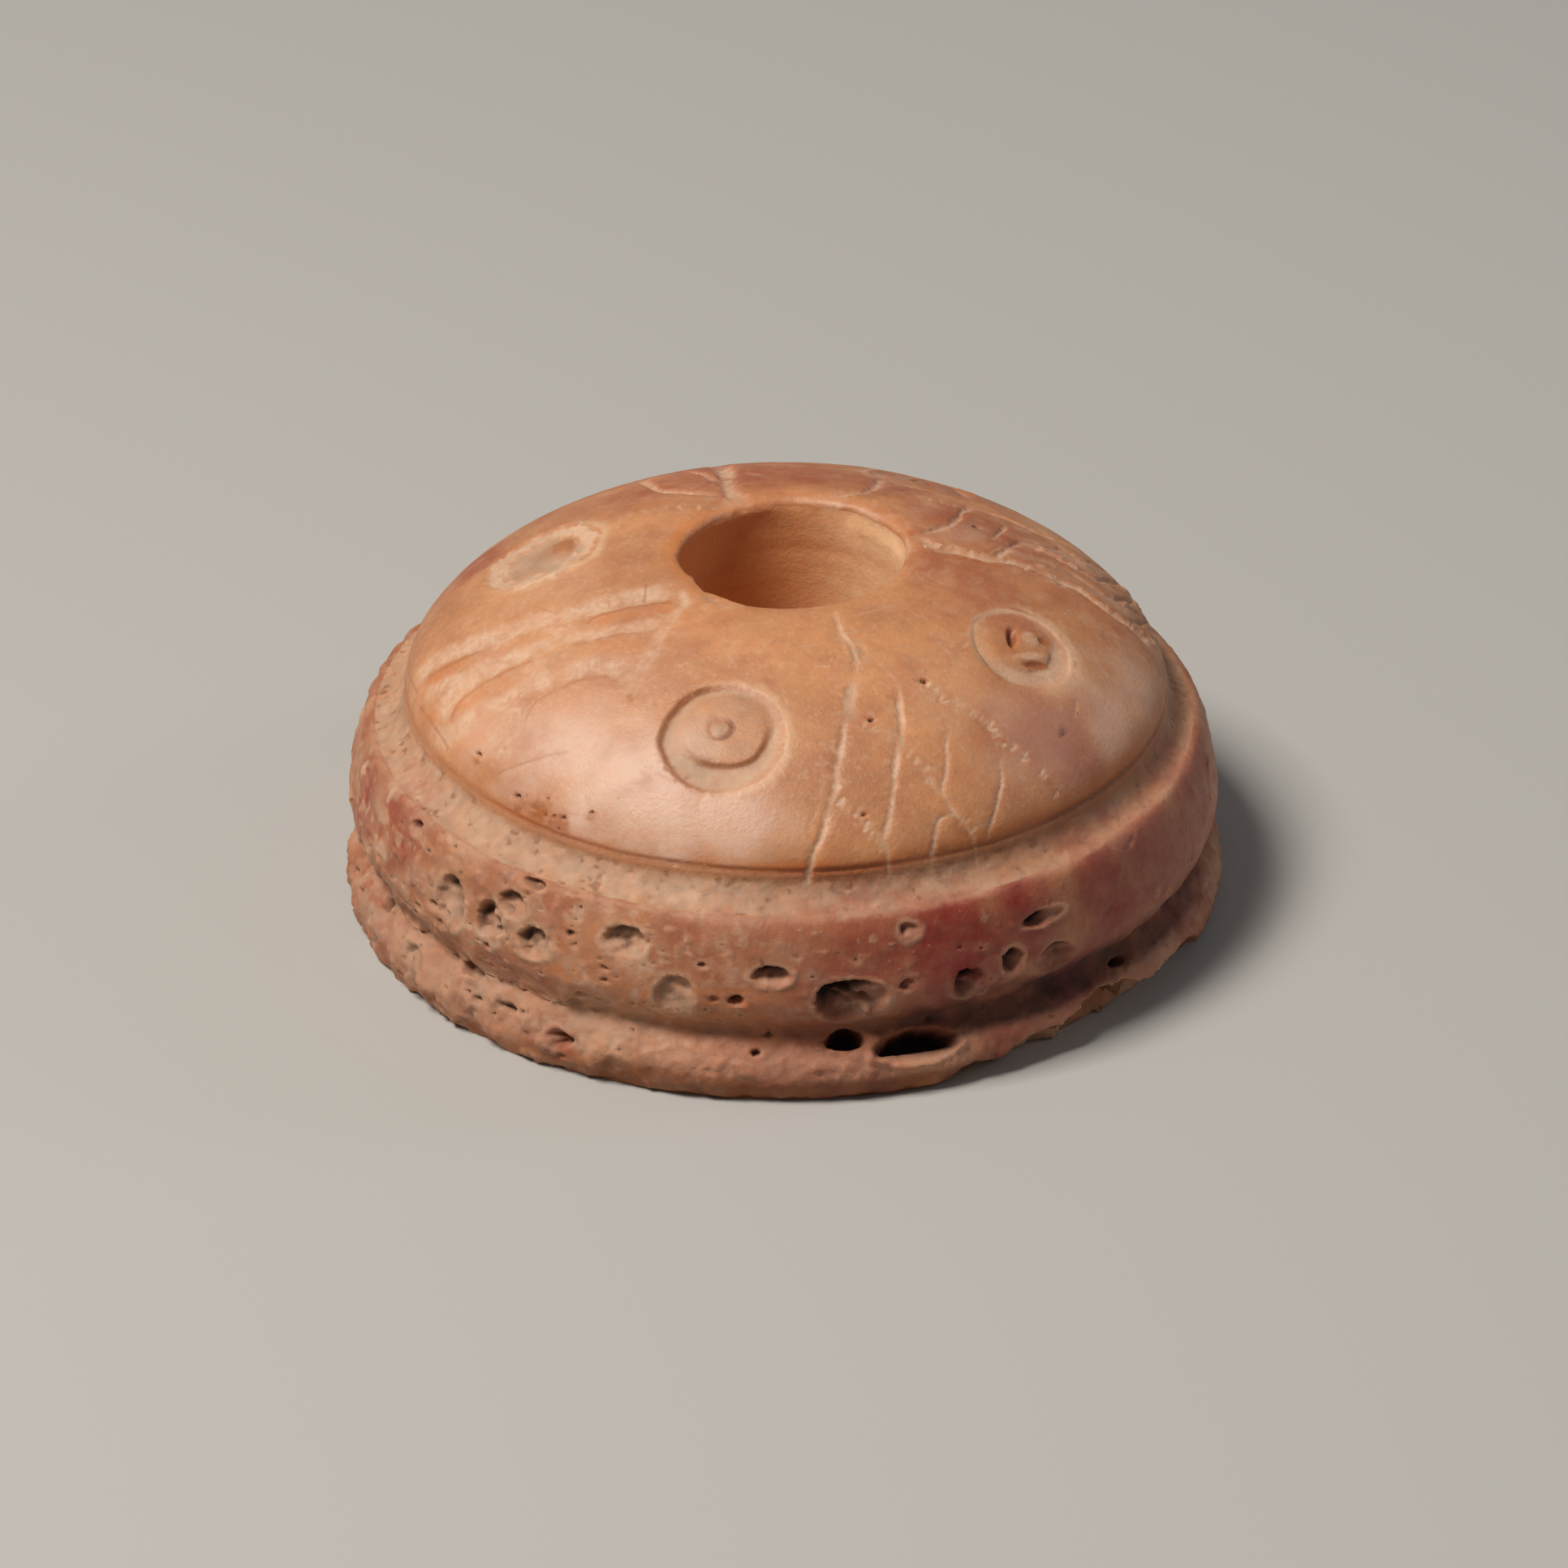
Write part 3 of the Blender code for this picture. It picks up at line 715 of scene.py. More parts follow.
def cut_strokes(strokes, first_seed, softness, end_length=0.8):
    """Cut a whole table of strokes over the top, each with a seed of its own."""
    for number, (plan, width, depth, dusty) in enumerate(strokes):
        route = lift_to_top(smooth_curve(plan, CURVE_STEPS))
        cut_stroke(route, width, depth, dusty, first_seed + 10 * number, softness, end_length)


def tint_strokes(layer, tints, first_seed, steps=CURVE_STEPS):
    """Lay one colour along a whole table of routes over the top."""
    for number, (plan, width, strength) in enumerate(tints):
        plan = smooth_curve(plan, steps) if steps else plan
        tint_stroke(layer, lift_to_top(plan), width, strength, first_seed + 10 * number)


# %% [markdown]
# The lines in front were drawn with a fine point, from the hole outwards. Where the point was
# set down again two strokes meet end to end, and grey ash lies in the widest places.

# %% Lines in front
FRONT_STROKES = [
    # plan points (x, y), width, depth, how dusty
    ([(1.6, -4.7), (1.85, -5.3), (2.15, -5.9), (2.4, -6.5), (2.5, -7.2), (2.5, -7.9)], 0.24, 0.055, 0.70),
    ([(2.5, -7.9), (2.38, -8.5), (2.28, -9.1), (2.30, -9.6)], 0.40, 0.065, 0.75),
    (
        [(2.25, -9.5), (2.08, -10.1), (2.0, -10.9), (1.8, -11.4), (1.75, -12.0), (1.55, -12.6)],
        0.25, 0.06, 0.80,
    ),
    ([(1.6, -12.5), (1.4, -13.0), (1.2, -13.4), (0.9, -13.75), (0.4, -14.15)], 0.24, 0.08, 0.90),
    ([(1.3, -12.3), (1.05, -12.9), (0.9, -13.3)], 0.16, 0.03, 0.45),
    ([(1.75, -5.3), (2.0, -6.0), (2.2, -6.8)], 0.20, 0.03, 0.30),
    ([(2.6, -6.1), (2.85, -6.7), (3.0, -7.2)], 0.28, 0.03, 0.40),
    ([(3.0, -6.9), (3.4, -7.2), (3.7, -7.5), (4.0, -8.1)], 0.20, 0.01, 0.22),
    ([(3.98, -8.1), (4.05, -8.8), (4.06, -9.5), (4.0, -10.4)], 0.27, 0.07, 0.90),
    (
        [(3.98, -10.3), (3.9, -10.9), (3.85, -11.4), (3.75, -12.0), (3.62, -12.6), (3.45, -13.2)],
        0.22, 0.06, 0.85,
    ),
    ([(5.75, -9.4), (5.70, -10.1), (5.65, -10.8), (5.52, -11.4), (5.70, -11.75)], 0.20, 0.06, 0.90),
    ([(5.52, -11.5), (5.9, -11.8), (6.4, -12.0), (6.8, -12.35), (6.95, -12.75)], 0.15, 0.05, 0.70),
    ([(5.95, -11.85), (5.6, -12.05), (5.35, -12.2), (5.25, -12.5), (5.08, -12.95)], 0.18, 0.055, 0.90),
    ([(7.55, -9.7), (7.62, -10.3), (7.5, -10.8), (7.35, -11.3), (7.1, -11.8)], 0.18, 0.06, 0.95),
    ([(7.05, -11.15), (7.35, -11.05)], 0.12, 0.03, 0.70),
    ([(3.35, -13.0), (3.65, -13.35), (4.0, -13.7)], 0.18, 0.05, 0.75),
    ([(10.38, -5.8), (10.35, -6.2), (10.3, -6.7)], 0.18, 0.03, 0.80),
]
FRONT_ASH = [
    # plan points, width, strength
    ([(2.45, -6.4), (2.55, -7.2)], 0.65, 0.60),
    ([(2.35, -8.4), (2.25, -9.6)], 0.42, 0.35),
    ([(3.82, -9.8), (3.72, -10.5)], 0.24, 0.65),
    ([(4.1, -9.7), (4.06, -10.5)], 0.25, 0.45),
]
cut_strokes(FRONT_STROKES, 200, softness=0.6)
tint_strokes(ash, FRONT_ASH, 390, steps=0)
print(f"lines in front: {len(FRONT_STROKES)}")

# %% [markdown]
# The flutes on the left are wide and shallow, scraped away so lightly that they only show
# because they are paler than the islands of old skin left between them. So they are cut with
# soft edges, and the islands get a warmer tone of their own.

# %% Flutes on the left
FLUTES = [
    # plan points, width, depth, how dusty
    (
        [(-13.4, -1.8), (-12.2, -2.15), (-11.0, -2.6), (-10.0, -2.9), (-9.0, -3.0), (-8.0, -3.1)],
        1.20, 0.050, 0.79,
    ),
    ([(-8.2, -3.1), (-7.0, -3.3), (-6.0, -3.2), (-5.0, -3.1), (-4.2, -2.9)], 1.12, 0.050, 0.77),
    ([(-13.0, -3.2), (-12.0, -3.9), (-11.2, -4.15), (-10.2, -4.2)], 1.06, 0.045, 0.79),
    ([(-10.6, -3.7), (-10.0, -3.3), (-9.3, -3.0)], 0.70, 0.035, 0.63),
    ([(-8.4, -3.4), (-8.0, -4.0), (-7.6, -4.5)], 0.99, 0.030, 0.63),
    ([(-12.6, -4.9), (-11.4, -4.6), (-10.4, -4.5), (-9.0, -4.55), (-8.0, -4.6)], 1.12, 0.050, 0.79),
    ([(-8.2, -4.6), (-7.3, -4.7), (-6.5, -4.8), (-5.0, -4.85), (-4.3, -4.8)], 0.77, 0.050, 0.77),
    ([(-8.9, -5.0), (-8.7, -5.6), (-8.6, -6.2)], 1.26, 0.025, 0.63),
    (
        [(-12.6, -5.4), (-11.7, -6.15), (-10.8, -6.2), (-10.0, -6.4), (-9.0, -6.3), (-8.0, -6.25)],
        1.12, 0.050, 0.79,
    ),
    ([(-8.2, -6.25), (-7.0, -6.3), (-6.2, -6.5), (-5.7, -7.0), (-5.35, -7.7)], 0.85, 0.045, 0.71),
    ([(-12.2, -5.5), (-11.9, -5.0), (-11.3, -4.8)], 0.70, 0.035, 0.63),
    ([(-9.4, -6.6), (-9.8, -7.3), (-10.2, -7.9), (-9.4, -8.3)], 1.06, 0.030, 0.63),
    ([(-3.95, -3.0), (-3.75, -3.4), (-3.65, -3.9), (-3.9, -4.5), (-4.15, -5.1)], 0.44, 0.030, 0.71),
    ([(-4.1, -5.0), (-4.5, -5.8), (-4.75, -6.5), (-5.2, -7.4), (-5.4, -8.2)], 0.70, 0.030, 0.54),
]
ISLANDS = [
    # plan points, width, how warm
    ([(-13.2, -2.75), (-12.3, -3.25), (-11.2, -3.35)], 0.75, 0.38),
    ([(-9.8, -3.8), (-9.3, -3.65), (-8.9, -3.8)], 0.70, 0.27),
    ([(-6.9, -4.1), (-5.6, -4.1), (-4.2, -4.1)], 0.62, 0.27),
    ([(-7.2, -5.45), (-6.4, -5.5), (-5.6, -5.7)], 0.95, 0.27),
    ([(-5.6, -5.8), (-5.3, -6.2)], 0.50, 0.46),
    ([(-12.9, -4.2), (-12.35, -4.95)], 0.50, 0.51),
    ([(-11.6, -5.6), (-10.8, -5.45), (-9.8, -5.6)], 0.55, 0.29),
    ([(-10.2, -5.4), (-9.65, -6.1)], 0.30, 0.34),
    ([(-11.9, -6.8), (-11.0, -7.1), (-10.3, -7.3)], 0.80, 0.27),
    ([(-8.6, -7.8), (-7.6, -7.6), (-6.5, -7.7)], 1.30, 0.16),
]
BROWN_LINES = [
    # plan points, width, strength
    ([(-9.0, -1.9), (-8.6, -2.4), (-8.1, -2.9)], 0.16, 0.38),
    ([(-8.4, -3.5), (-7.9, -3.7), (-7.6, -4.1)], 0.16, 0.38),
    ([(-6.95, -4.1), (-6.7, -3.82), (-5.4, -3.72), (-4.1, -3.72)], 0.18, 0.53),
    ([(-7.5, -5.15), (-6.5, -5.05), (-5.0, -5.2)], 0.16, 0.40),
    ([(-12.8, -2.6), (-12.0, -2.95), (-10.9, -3.2)], 0.22, 0.53),
    ([(-11.9, -5.5), (-11.4, -5.15), (-10.2, -5.05), (-8.9, -5.05)], 0.16, 0.40),
    ([(-9.1, -7.6), (-8.8, -7.1), (-8.2, -6.95), (-7.3, -6.85), (-6.5, -6.95), (-6.0, -7.2)], 0.15, 0.38),
    ([(-10.1, -8.8), (-9.2, -9.1), (-8.3, -9.3), (-7.6, -9.5)], 0.15, 0.43),
    ([(-5.45, -8.0), (-5.35, -8.4)], 0.20, 0.56),
    ([(-13.65, 0.8), (-13.55, -1.2), (-13.25, -2.6)], 0.14, 0.50),
    ([(-13.15, -3.4), (-12.6, -5.0), (-12.1, -6.3)], 0.16, 0.50),
    ([(-5.0, -2.4), (-5.0, -3.5)], 0.09, 0.69),
    ([(-6.3, -2.6), (-6.2, -3.4)], 0.09, 0.44),
]
cut_strokes(FLUTES, 400, softness=0.75, end_length=0.5)
tint_strokes(amber, ISLANDS, 560)
tint_strokes(soil, BROWN_LINES, 1560)
print(f"flutes: {len(FLUTES)}, islands between them: {len(ISLANDS)}")

# %% [markdown]
# At the back one broad cut runs straight out from the hole, with curved lines leaving it on
# both sides. On the right, long ragged lines fan out over the shoulder, where they even notch
# the outline. Dust lies between those, and a thin crust of it roughens the shoulder.

# %% Strokes at the back and on the right
BACK_STROKES = [
    # plan points, width, depth, how dusty; the strokes on the right have the same columns
    ([(-1.75, 3.9), (-2.08, 4.8), (-2.12, 6.3), (-2.2, 8.2), (-2.6, 10.4)], 0.78, 0.20, 0.85),
    ([(-2.3, 4.4), (-3.1, 4.65), (-4.0, 5.2), (-4.6, 5.9), (-5.0, 7.2), (-5.4, 9.4)], 0.42, 0.12, 0.75),
    ([(-2.5, 5.9), (-2.75, 6.8), (-3.2, 8.0), (-4.0, 9.4)], 0.32, 0.10, 0.70),
    ([(-3.25, 4.9), (-3.4, 5.5)], 0.30, 0.06, 0.60),
    ([(1.2, 4.05), (2.0, 4.3), (2.8, 4.75), (3.2, 5.3), (3.5, 6.2), (3.7, 7.6)], 0.36, 0.11, 0.75),
    ([(3.3, 5.5), (3.5, 6.4)], 0.75, 0.07, 0.80),
    ([(2.6, 6.1), (2.9, 6.4)], 0.35, 0.05, 0.60),
    ([(-1.3, 6.9), (-0.7, 6.3)], 0.40, 0.05, 0.70),
    ([(1.3, 3.95), (2.0, 3.6), (2.6, 3.05), (2.9, 2.6)], 0.18, 0.04, 0.90),
    ([(4.0, 7.2), (4.6, 8.4), (4.8, 9.8)], 0.35, 0.08, 0.55),
    ([(-6.2, 6.9), (-6.8, 8.0)], 0.60, 0.05, 0.45),
]
RIGHT_STROKES = [
    (
        [(4.3, 1.25), (4.9, 1.45), (5.7, 2.2), (6.1, 2.8), (6.35, 3.6), (6.5, 4.4), (6.9, 5.3)],
        0.30, 0.11, 0.85,
    ),
    ([(4.3, 1.0), (4.9, 0.8), (5.5, 0.2)], 0.50, 0.07, 0.70),
    ([(5.4, 0.15), (6.1, 0.35), (6.8, 0.35), (7.5, 0.45), (8.4, 0.8), (9.3, 0.85)], 0.42, 0.11, 0.80),
    ([(9.2, 0.85), (9.9, 0.6), (10.6, 0.7), (11.5, 0.3), (12.4, 0.2), (13.4, 0.1)], 0.40, 0.11, 0.80),
    ([(7.55, 0.45), (7.85, 1.2), (8.15, 1.9), (8.5, 2.6), (9.0, 3.2)], 0.28, 0.10, 0.85),
    ([(7.5, 2.2), (7.75, 2.9), (8.0, 3.5), (8.1, 4.2)], 0.22, 0.09, 0.75),
    ([(8.6, 2.7), (9.5, 2.75), (10.3, 2.5), (11.2, 2.5), (12.2, 2.9)], 0.32, 0.11, 0.75),
    ([(6.9, 5.2), (8.0, 5.2), (9.2, 4.9), (10.6, 5.2)], 0.40, 0.10, 0.70),
    ([(10.0, 1.9), (11.2, 1.5), (12.4, 1.9), (13.3, 2.6)], 0.26, 0.12, 0.75),
    ([(9.0, 3.2), (10.2, 3.9), (11.2, 4.4), (12.0, 5.4)], 0.30, 0.14, 0.75),
    ([(11.2, 2.4), (11.9, 3.6), (12.3, 4.9)], 0.28, 0.12, 0.75),
    ([(11.9, 1.6), (12.5, 2.6), (12.8, 3.9)], 0.22, 0.12, 0.75),
    ([(12.6, 0.8), (13.1, 1.9), (13.2, 3.2)], 0.22, 0.12, 0.70),
]
RIGHT_BROWN = [
    # plan points, width, strength; also for the dust and the ash
    ([(4.1, 1.3), (4.35, 1.4)], 0.35, 0.60),
    ([(5.5, 2.5), (6.0, 3.4), (6.15, 4.4)], 0.24, 0.40),
    ([(4.4, 0.15), (5.6, -0.1), (7.0, -0.05), (7.8, 0.0)], 0.24, 0.40),
    ([(5.8, 1.3), (6.3, 1.5)], 1.00, 0.30),
    ([(7.2, 0.75), (7.5, 1.3), (7.8, 1.8)], 0.18, 0.60),
    ([(8.0, 1.2), (8.7, 1.15), (9.3, 1.5), (10.2, 1.4)], 0.40, 0.50),
    ([(9.0, 2.1), (10.5, 1.95)], 0.40, 0.40),
    ([(8.05, 0.4), (8.2, 0.35)], 0.28, 0.45),
    ([(7.3, 3.4), (7.5, 4.2)], 0.25, 0.35),
    ([(2.0, 5.5), (0.0, 6.0)], 1.6, 0.20),
]
RIGHT_DUST = [
    ([(5.0, 1.4), (6.4, 1.9), (7.2, 2.8)], 1.5, 0.48),
    ([(7.6, 1.3), (9.2, 1.6), (10.8, 1.5)], 1.2, 0.50),
    ([(8.6, 3.0), (10.2, 3.3), (11.6, 3.6)], 1.3, 0.48),
    ([(11.0, 1.2), (12.6, 1.4)], 1.0, 0.55),
    ([(4.8, 3.2), (5.6, 4.6)], 1.0, 0.36),
]
RIGHT_ASH = [([(6.95, 2.6), (7.1, 3.4)], 0.9, 0.55)]
cut_strokes(BACK_STROKES + RIGHT_STROKES, 2400, softness=0.7)
tint_strokes(soil, RIGHT_BROWN, 2800)
tint_strokes(dust, RIGHT_DUST, 2900)
tint_strokes(ash, RIGHT_ASH, 2990, steps=0)
shoulder = points_near(lift_to_top([(9.0, 0.8), (13.0, 5.0)]), 0.6)
crust = ease(rough_cloud(POINTS[shoulder], 0.45, 2995, layers=2), 0.35, 0.95)
carved[shoulder] -= 0.07 * crust
coat(dust, shoulder, 0.55 * crust)
print(f"strokes at the back: {len(BACK_STROKES)}, on the right: {len(RIGHT_STROKES)}")

# %% [markdown]
# Three slanting lines in front aren't drawn but pecked: the tool was rocked forward, and left
# a row of short nicks that all lean the same way. The long lines have fine ticks across them,
# where the blade stuttered.

# %% Pecked lines
NICK_WIDTH = 0.10
PECKED_LINES = [
    # plan points, lean of the nicks (degrees), their length and spacing, depth, how dusty
    ([(5.1, -7.75), (5.6, -8.2), (6.1, -8.15), (6.6, -8.5), (7.2, -8.7)], 58.0, 0.24, 0.17, 0.045, 0.75),
    ([(7.25, -8.6), (7.55, -9.2), (8.1, -9.2), (8.8, -9.45), (9.4, -9.55)], 50.0, 0.24, 0.17, 0.045, 0.80),
    ([(4.2, -10.6), (4.7, -10.85), (5.1, -11.3), (5.5, -11.5)], 65.0, 0.21, 0.20, 0.035, 0.59),
    ([(6.0, -11.85), (6.7, -12.05)], 60.0, 0.19, 0.20, 0.035, 0.64),
    ([(1.9, -12.2), (2.4, -12.55), (3.0, -12.95), (3.6, -13.25)], 60.0, 0.22, 0.17, 0.045, 0.75),
    ([(2.3, -9.5), (3.0, -9.85), (3.7, -10.2)], 60.0, 0.21, 0.26, 0.030, 0.38),
    ([(3.72, -8.8), (3.75, -10.0), (3.6, -11.2), (3.4, -12.5)], 0.0, 0.27, 0.36, 0.020, 0.27),
    ([(1.95, -8.0), (1.85, -9.4), (1.6, -11.0), (1.4, -12.0)], 0.0, 0.30, 0.36, 0.020, 0.25),
    ([(2.65, -6.3), (2.9, -7.2)], 0.0, 0.24, 0.24, 0.030, 0.32),
    (
        [(4.7, 0.5), (6.2, 0.6), (8.0, 0.6), (9.6, 0.75), (11.2, 0.55), (12.8, 0.3)],
        75.0, 0.34, 0.22, 0.051, 0.74,
    ),
    ([(4.9, 4.9), (6.2, 4.9)], 90.0, 0.44, 0.26, 0.030, 0.64),
    ([(-6.0, 3.1), (-4.8, 3.6), (-3.4, 3.4)], 88.0, 0.28, 0.42, 0.020, 0.47),
]
PECKED_SOIL = [
    # plan points, width, strength
    ([(4.6, -7.7), (4.95, -7.65)], 0.32, 0.40),
    ([(6.7, -8.75), (7.1, -8.6)], 0.32, 0.40),
    ([(2.7, -12.7), (2.95, -12.6)], 0.32, 0.40),
]


def peck_line(plan, lean, nick_length, spacing, depth, dusty, seed):
    """Set short nicks along a line, all leaning about the same way, some of them missing."""
    chance = np.random.default_rng(seed)
    for middle in even_steps(smooth_curve(plan, 6), spacing):
        turn = math.radians(lean + chance.normal(0.0, 14.0))
        half = nick_length / 2 * chance.uniform(0.6, 1.3)
        middle = middle + chance.normal(0.0, 0.07, 2)
        strength = chance.uniform(0.35, 1.15)
        nick = half * np.array((math.cos(turn), math.sin(turn)))
        route = lift_to_top([middle - nick, middle + nick])
        index = around(route.mean(axis=0), nick_length)
        gap, _, _ = measure_route(route, POINTS[index])
        gap = gap * (1.0 + 0.3 * cloud(POINTS[index], 0.15, seed))
        sink(index, depth * strength * ease(gap, NICK_WIDTH * 0.8, 0.0))
        edge = ease(gap, NICK_WIDTH * 0.7, NICK_WIDTH) * ease(gap, NICK_WIDTH * 1.7, NICK_WIDTH * 1.2)
        carved[index] -= 0.2 * depth * strength * edge
        pale = min(1.0, 1.1 * dusty * strength) * ease(gap, NICK_WIDTH, NICK_WIDTH * 0.3)
        coat(dust, index, pale)
        coat(fresh_and_lit, index, 0.1 * pale)


for seed, pecked in enumerate(PECKED_LINES):
    peck_line(*pecked, 600 + seed)
tint_strokes(soil, PECKED_SOIL, 690, steps=0)
print(f"pecked lines: {len(PECKED_LINES)}")

# %% [markdown]
# ## Pores
#
# The side cuts through spongy bone, so natural pores open in it. The large ones are placed one
# by one. Each is an egg-shaped cup with a wavering outline and a steep wall. Its floor climbs
# from the deep end, which runs in under the lip and is painted nearly black as shade, to a
# shallow end of pale grit with a bright rim.

# %% Pore tool
PORE_WAVER = 0.17


def open_pore(centre, along, up, normal, size, lean, dusty, dark, seed):
    """Sink one pore; size is (width, tallness, depth), lean the side where it runs deeper."""
    width, tallness, depth = size
    index = around(centre, 0.75 * max(width, tallness) + 0.25)
    places = POINTS[index]
    near = places - centre
    across, climb = near @ along, near @ up
    facing = NORMALS[index] @ normal > 0.1
    reach = np.hypot(across / (width / 2), climb / (tallness / 2))
    waver = PORE_WAVER * cloud(places, 0.30 * max(width, tallness), seed)
    reach += waver + 0.06 * cloud(places, 0.14, seed + 1)
    edge = min(0.25, 0.10 / min(width, tallness) + 0.08)
    floor = ease(reach, 1.0, 1.0 - 2.0 * edge) * facing
    side = math.cos(math.radians(lean)), math.sin(math.radians(lean))
    towards = (across * side[0] / width + climb * side[1] / tallness) * 2.0
    towards = towards + 0.16 * cloud(places, 0.25, seed + 2)
    fall = 0.10 + 0.90 * ease(towards, -1.05, 0.55)
    grain = rough_cloud(places, 0.30, seed + 3, layers=2)
    sink(index, floor * (depth * fall * (1.0 + 0.15 * grain) + min(0.13, 0.35 * depth) * dusty * grain))
    slant = (along * side[0] + up * side[1])[None, :]
    shifted[index] += slant * (0.24 * depth * floor * ease(towards, -0.2, 0.9))[:, None]
    outside = (reach - 1.0) * 0.25 * (width + tallness)
    rim = ease(outside, 0.26, 0.08) * ease(outside, -0.10, 0.02) * facing
    broken = np.clip(0.85 + 0.6 * cloud(places, 0.22, seed + 4), 0.0, 1.0)
    carved[index] -= 0.075 * min(1.0, 2.0 * depth) * rim * broken * ease(towards, 1.0, -0.2)
    coat(ash, index, 0.35 * dusty * broken * facing * ease(outside, 0.60, 0.20) * ease(outside, 0.02, 0.16))
    coat(dust, index, rim * dusty * broken * (0.80 + 0.30 * ease(towards, 0.3, -0.8)))
    coat(fresh_and_lit, index, 0.5 * rim * dusty * broken)
    wipe(index, floor * dusty)
    coat(dust, index, floor * dusty * (0.95 - 0.4 * ease(towards, -0.2, 0.7)))
    coat(ash, index, floor * dusty * (0.62 + 0.50 * grain) * ease(towards, -1.2, -0.4))
    coat(shade_and_grime, index, 0.38 * floor * dusty * ease(grain, 0.25, 0.8))
    # Painted shade: soil and near-black fill the deep end, where the lip shades the floor
    black_from = 0.70 - 0.80 * dark - 0.24 * depth
    deep = floor * min(1.0, 1.6 * dark) * ease(towards, black_from, black_from + 0.30)
    coat(soil, index, floor * dark * ease(towards, -0.6, 0.2) * 0.7)
    coat(shade_and_grime, index, deep)
    gloss[index] *= 1.0 - 0.7 * np.maximum(floor, rim)


PORES = [
    # azimuth, height, width, tallness, depth, lean (degrees), how dusty, how dark with painted shade
    (278.4, 3.95, 2.55, 2.10, 1.15, 136.0, 1.00, 0.72),
    (278.0, 2.10, 1.55, 0.85, 1.30, 95.0, 0.10, 1.00),
    (287.2, 1.84, 3.60, 1.30, 1.60, 80.0, 0.05, 1.00),
    (268.5, 5.05, 1.45, 0.85, 0.55, 95.0, 0.95, 0.70),
    (264.0, 4.04, 0.66, 0.52, 0.70, 120.0, 0.10, 1.00),
    (261.0, 4.04, 0.38, 0.42, 0.25, 120.0, 0.10, 0.35),
    (266.3, 1.87, 0.45, 0.34, 0.32, 100.0, 0.20, 0.75),
    (240.3, 1.37, 1.20, 0.80, 0.80, 15.0, 0.00, 0.42),
    (246.5, 4.60, 0.30, 0.27, 0.25, 100.0, 0.10, 0.70),
    (246.5, 4.22, 0.26, 0.22, 0.20, 100.0, 0.10, 0.55),
    (242.9, 3.22, 0.55, 0.42, 0.28, 130.0, 0.40, 0.50),
    (250.0, 2.06, 0.24, 0.18, 0.25, 90.0, 0.10, 0.70),
    (249.3, 5.72, 1.75, 1.35, 0.42, 96.0, 1.00, 0.45),
    (255.8, 4.05, 1.45, 1.75, 0.28, 120.0, 0.75, 0.22),
    (286.5, 6.33, 0.80, 0.66, 0.24, 120.0, 0.90, 0.20),
    (286.0, 4.40, 0.78, 0.62, 0.30, 140.0, 0.60, 0.50),
    (294.5, 4.05, 1.40, 1.20, 0.60, 122.0, 1.00, 0.75),
    (300.7, 4.45, 0.92, 1.05, 0.70, 110.0, 0.85, 0.95),
    (307.3, 4.00, 2.20, 1.15, 0.36, 95.0, 0.60, 0.55),
    (305.6, 5.65, 1.90, 0.58, 0.48, 160.0, 0.95, 0.75),
    (320.8, 2.12, 1.00, 0.42, 0.50, 90.0, 0.10, 0.90),
    (318.2, 1.60, 0.26, 0.20, 0.22, 90.0, 0.10, 0.60),
    (211.3, 6.60, 0.66, 0.55, 0.55, 95.0, 0.90, 1.00),
    (221.2, 4.95, 1.70, 2.05, 0.42, 98.0, 1.00, 0.40),
    (228.6, 4.95, 1.25, 1.60, 0.45, 158.0, 1.00, 0.48),
    (232.1, 5.95, 1.30, 1.05, 0.42, 122.0, 0.95, 0.42),
    (236.3, 4.90, 1.30, 1.25, 0.40, 148.0, 1.00, 0.45),
    (234.8, 6.82, 1.05, 0.48, 0.35, 92.0, 0.85, 0.60),
    (202.3, 2.11, 0.75, 0.66, 0.60, 95.0, 0.10, 0.90),
    (213.5, 1.72, 1.25, 0.80, 0.30, 120.0, 0.70, 0.35),
    (224.3, 2.25, 1.25, 0.85, 0.40, 105.0, 0.85, 0.45),
    (220.3, 2.31, 0.42, 0.30, 0.25, 95.0, 0.20, 0.60),
    (231.3, 1.78, 0.95, 0.35, 0.35, 92.0, 0.30, 0.85),
    (227.0, 1.60, 0.55, 0.35, 0.25, 92.0, 0.50, 0.50),
    (220.0, 6.78, 0.30, 0.24, 0.20, 120.0, 0.00, 0.55),
    (241.5, 2.75, 0.70, 0.50, 0.22, 110.0, 0.60, 0.35),
    (205.5, 3.30, 0.95, 0.60, 0.30, 100.0, 0.70, 0.45),
    (196.0, 3.60, 1.10, 0.70, 0.28, 100.0, 0.85, 0.40),
    (187.5, 1.60, 0.90, 0.60, 0.35, 100.0, 0.50, 0.60),
    (157.3, 5.55, 0.40, 0.34, 0.35, 95.0, 0.10, 0.95),
    (140.0, 4.40, 1.25, 0.90, 0.60, 98.0, 0.80, 0.75),
    (127.0, 2.00, 1.70, 0.60, 0.80, 90.0, 0.10, 0.90),
    (98.0, 5.20, 1.55, 0.95, 0.55, 122.0, 0.90, 0.70),
    (88.0, 3.90, 0.80, 0.70, 0.45, 120.0, 0.70, 0.70),
    (62.0, 3.80, 1.20, 0.95, 0.60, 98.0, 0.80, 0.80),
    (45.0, 1.70, 0.80, 0.50, 0.45, 95.0, 0.20, 0.85),
    (24.0, 4.80, 1.40, 0.90, 0.55, 122.0, 0.90, 0.70),
    (8.0, 5.90, 0.50, 0.40, 0.25, 110.0, 0.80, 0.40),
]
for number, (azimuth, height, width, tallness, depth, lean, dusty, dark) in enumerate(PORES):
    spot = find_spot(azimuth, height=height)
    open_pore(*spot, (width, tallness, depth), lean, dusty, dark, 800 + 5 * number)
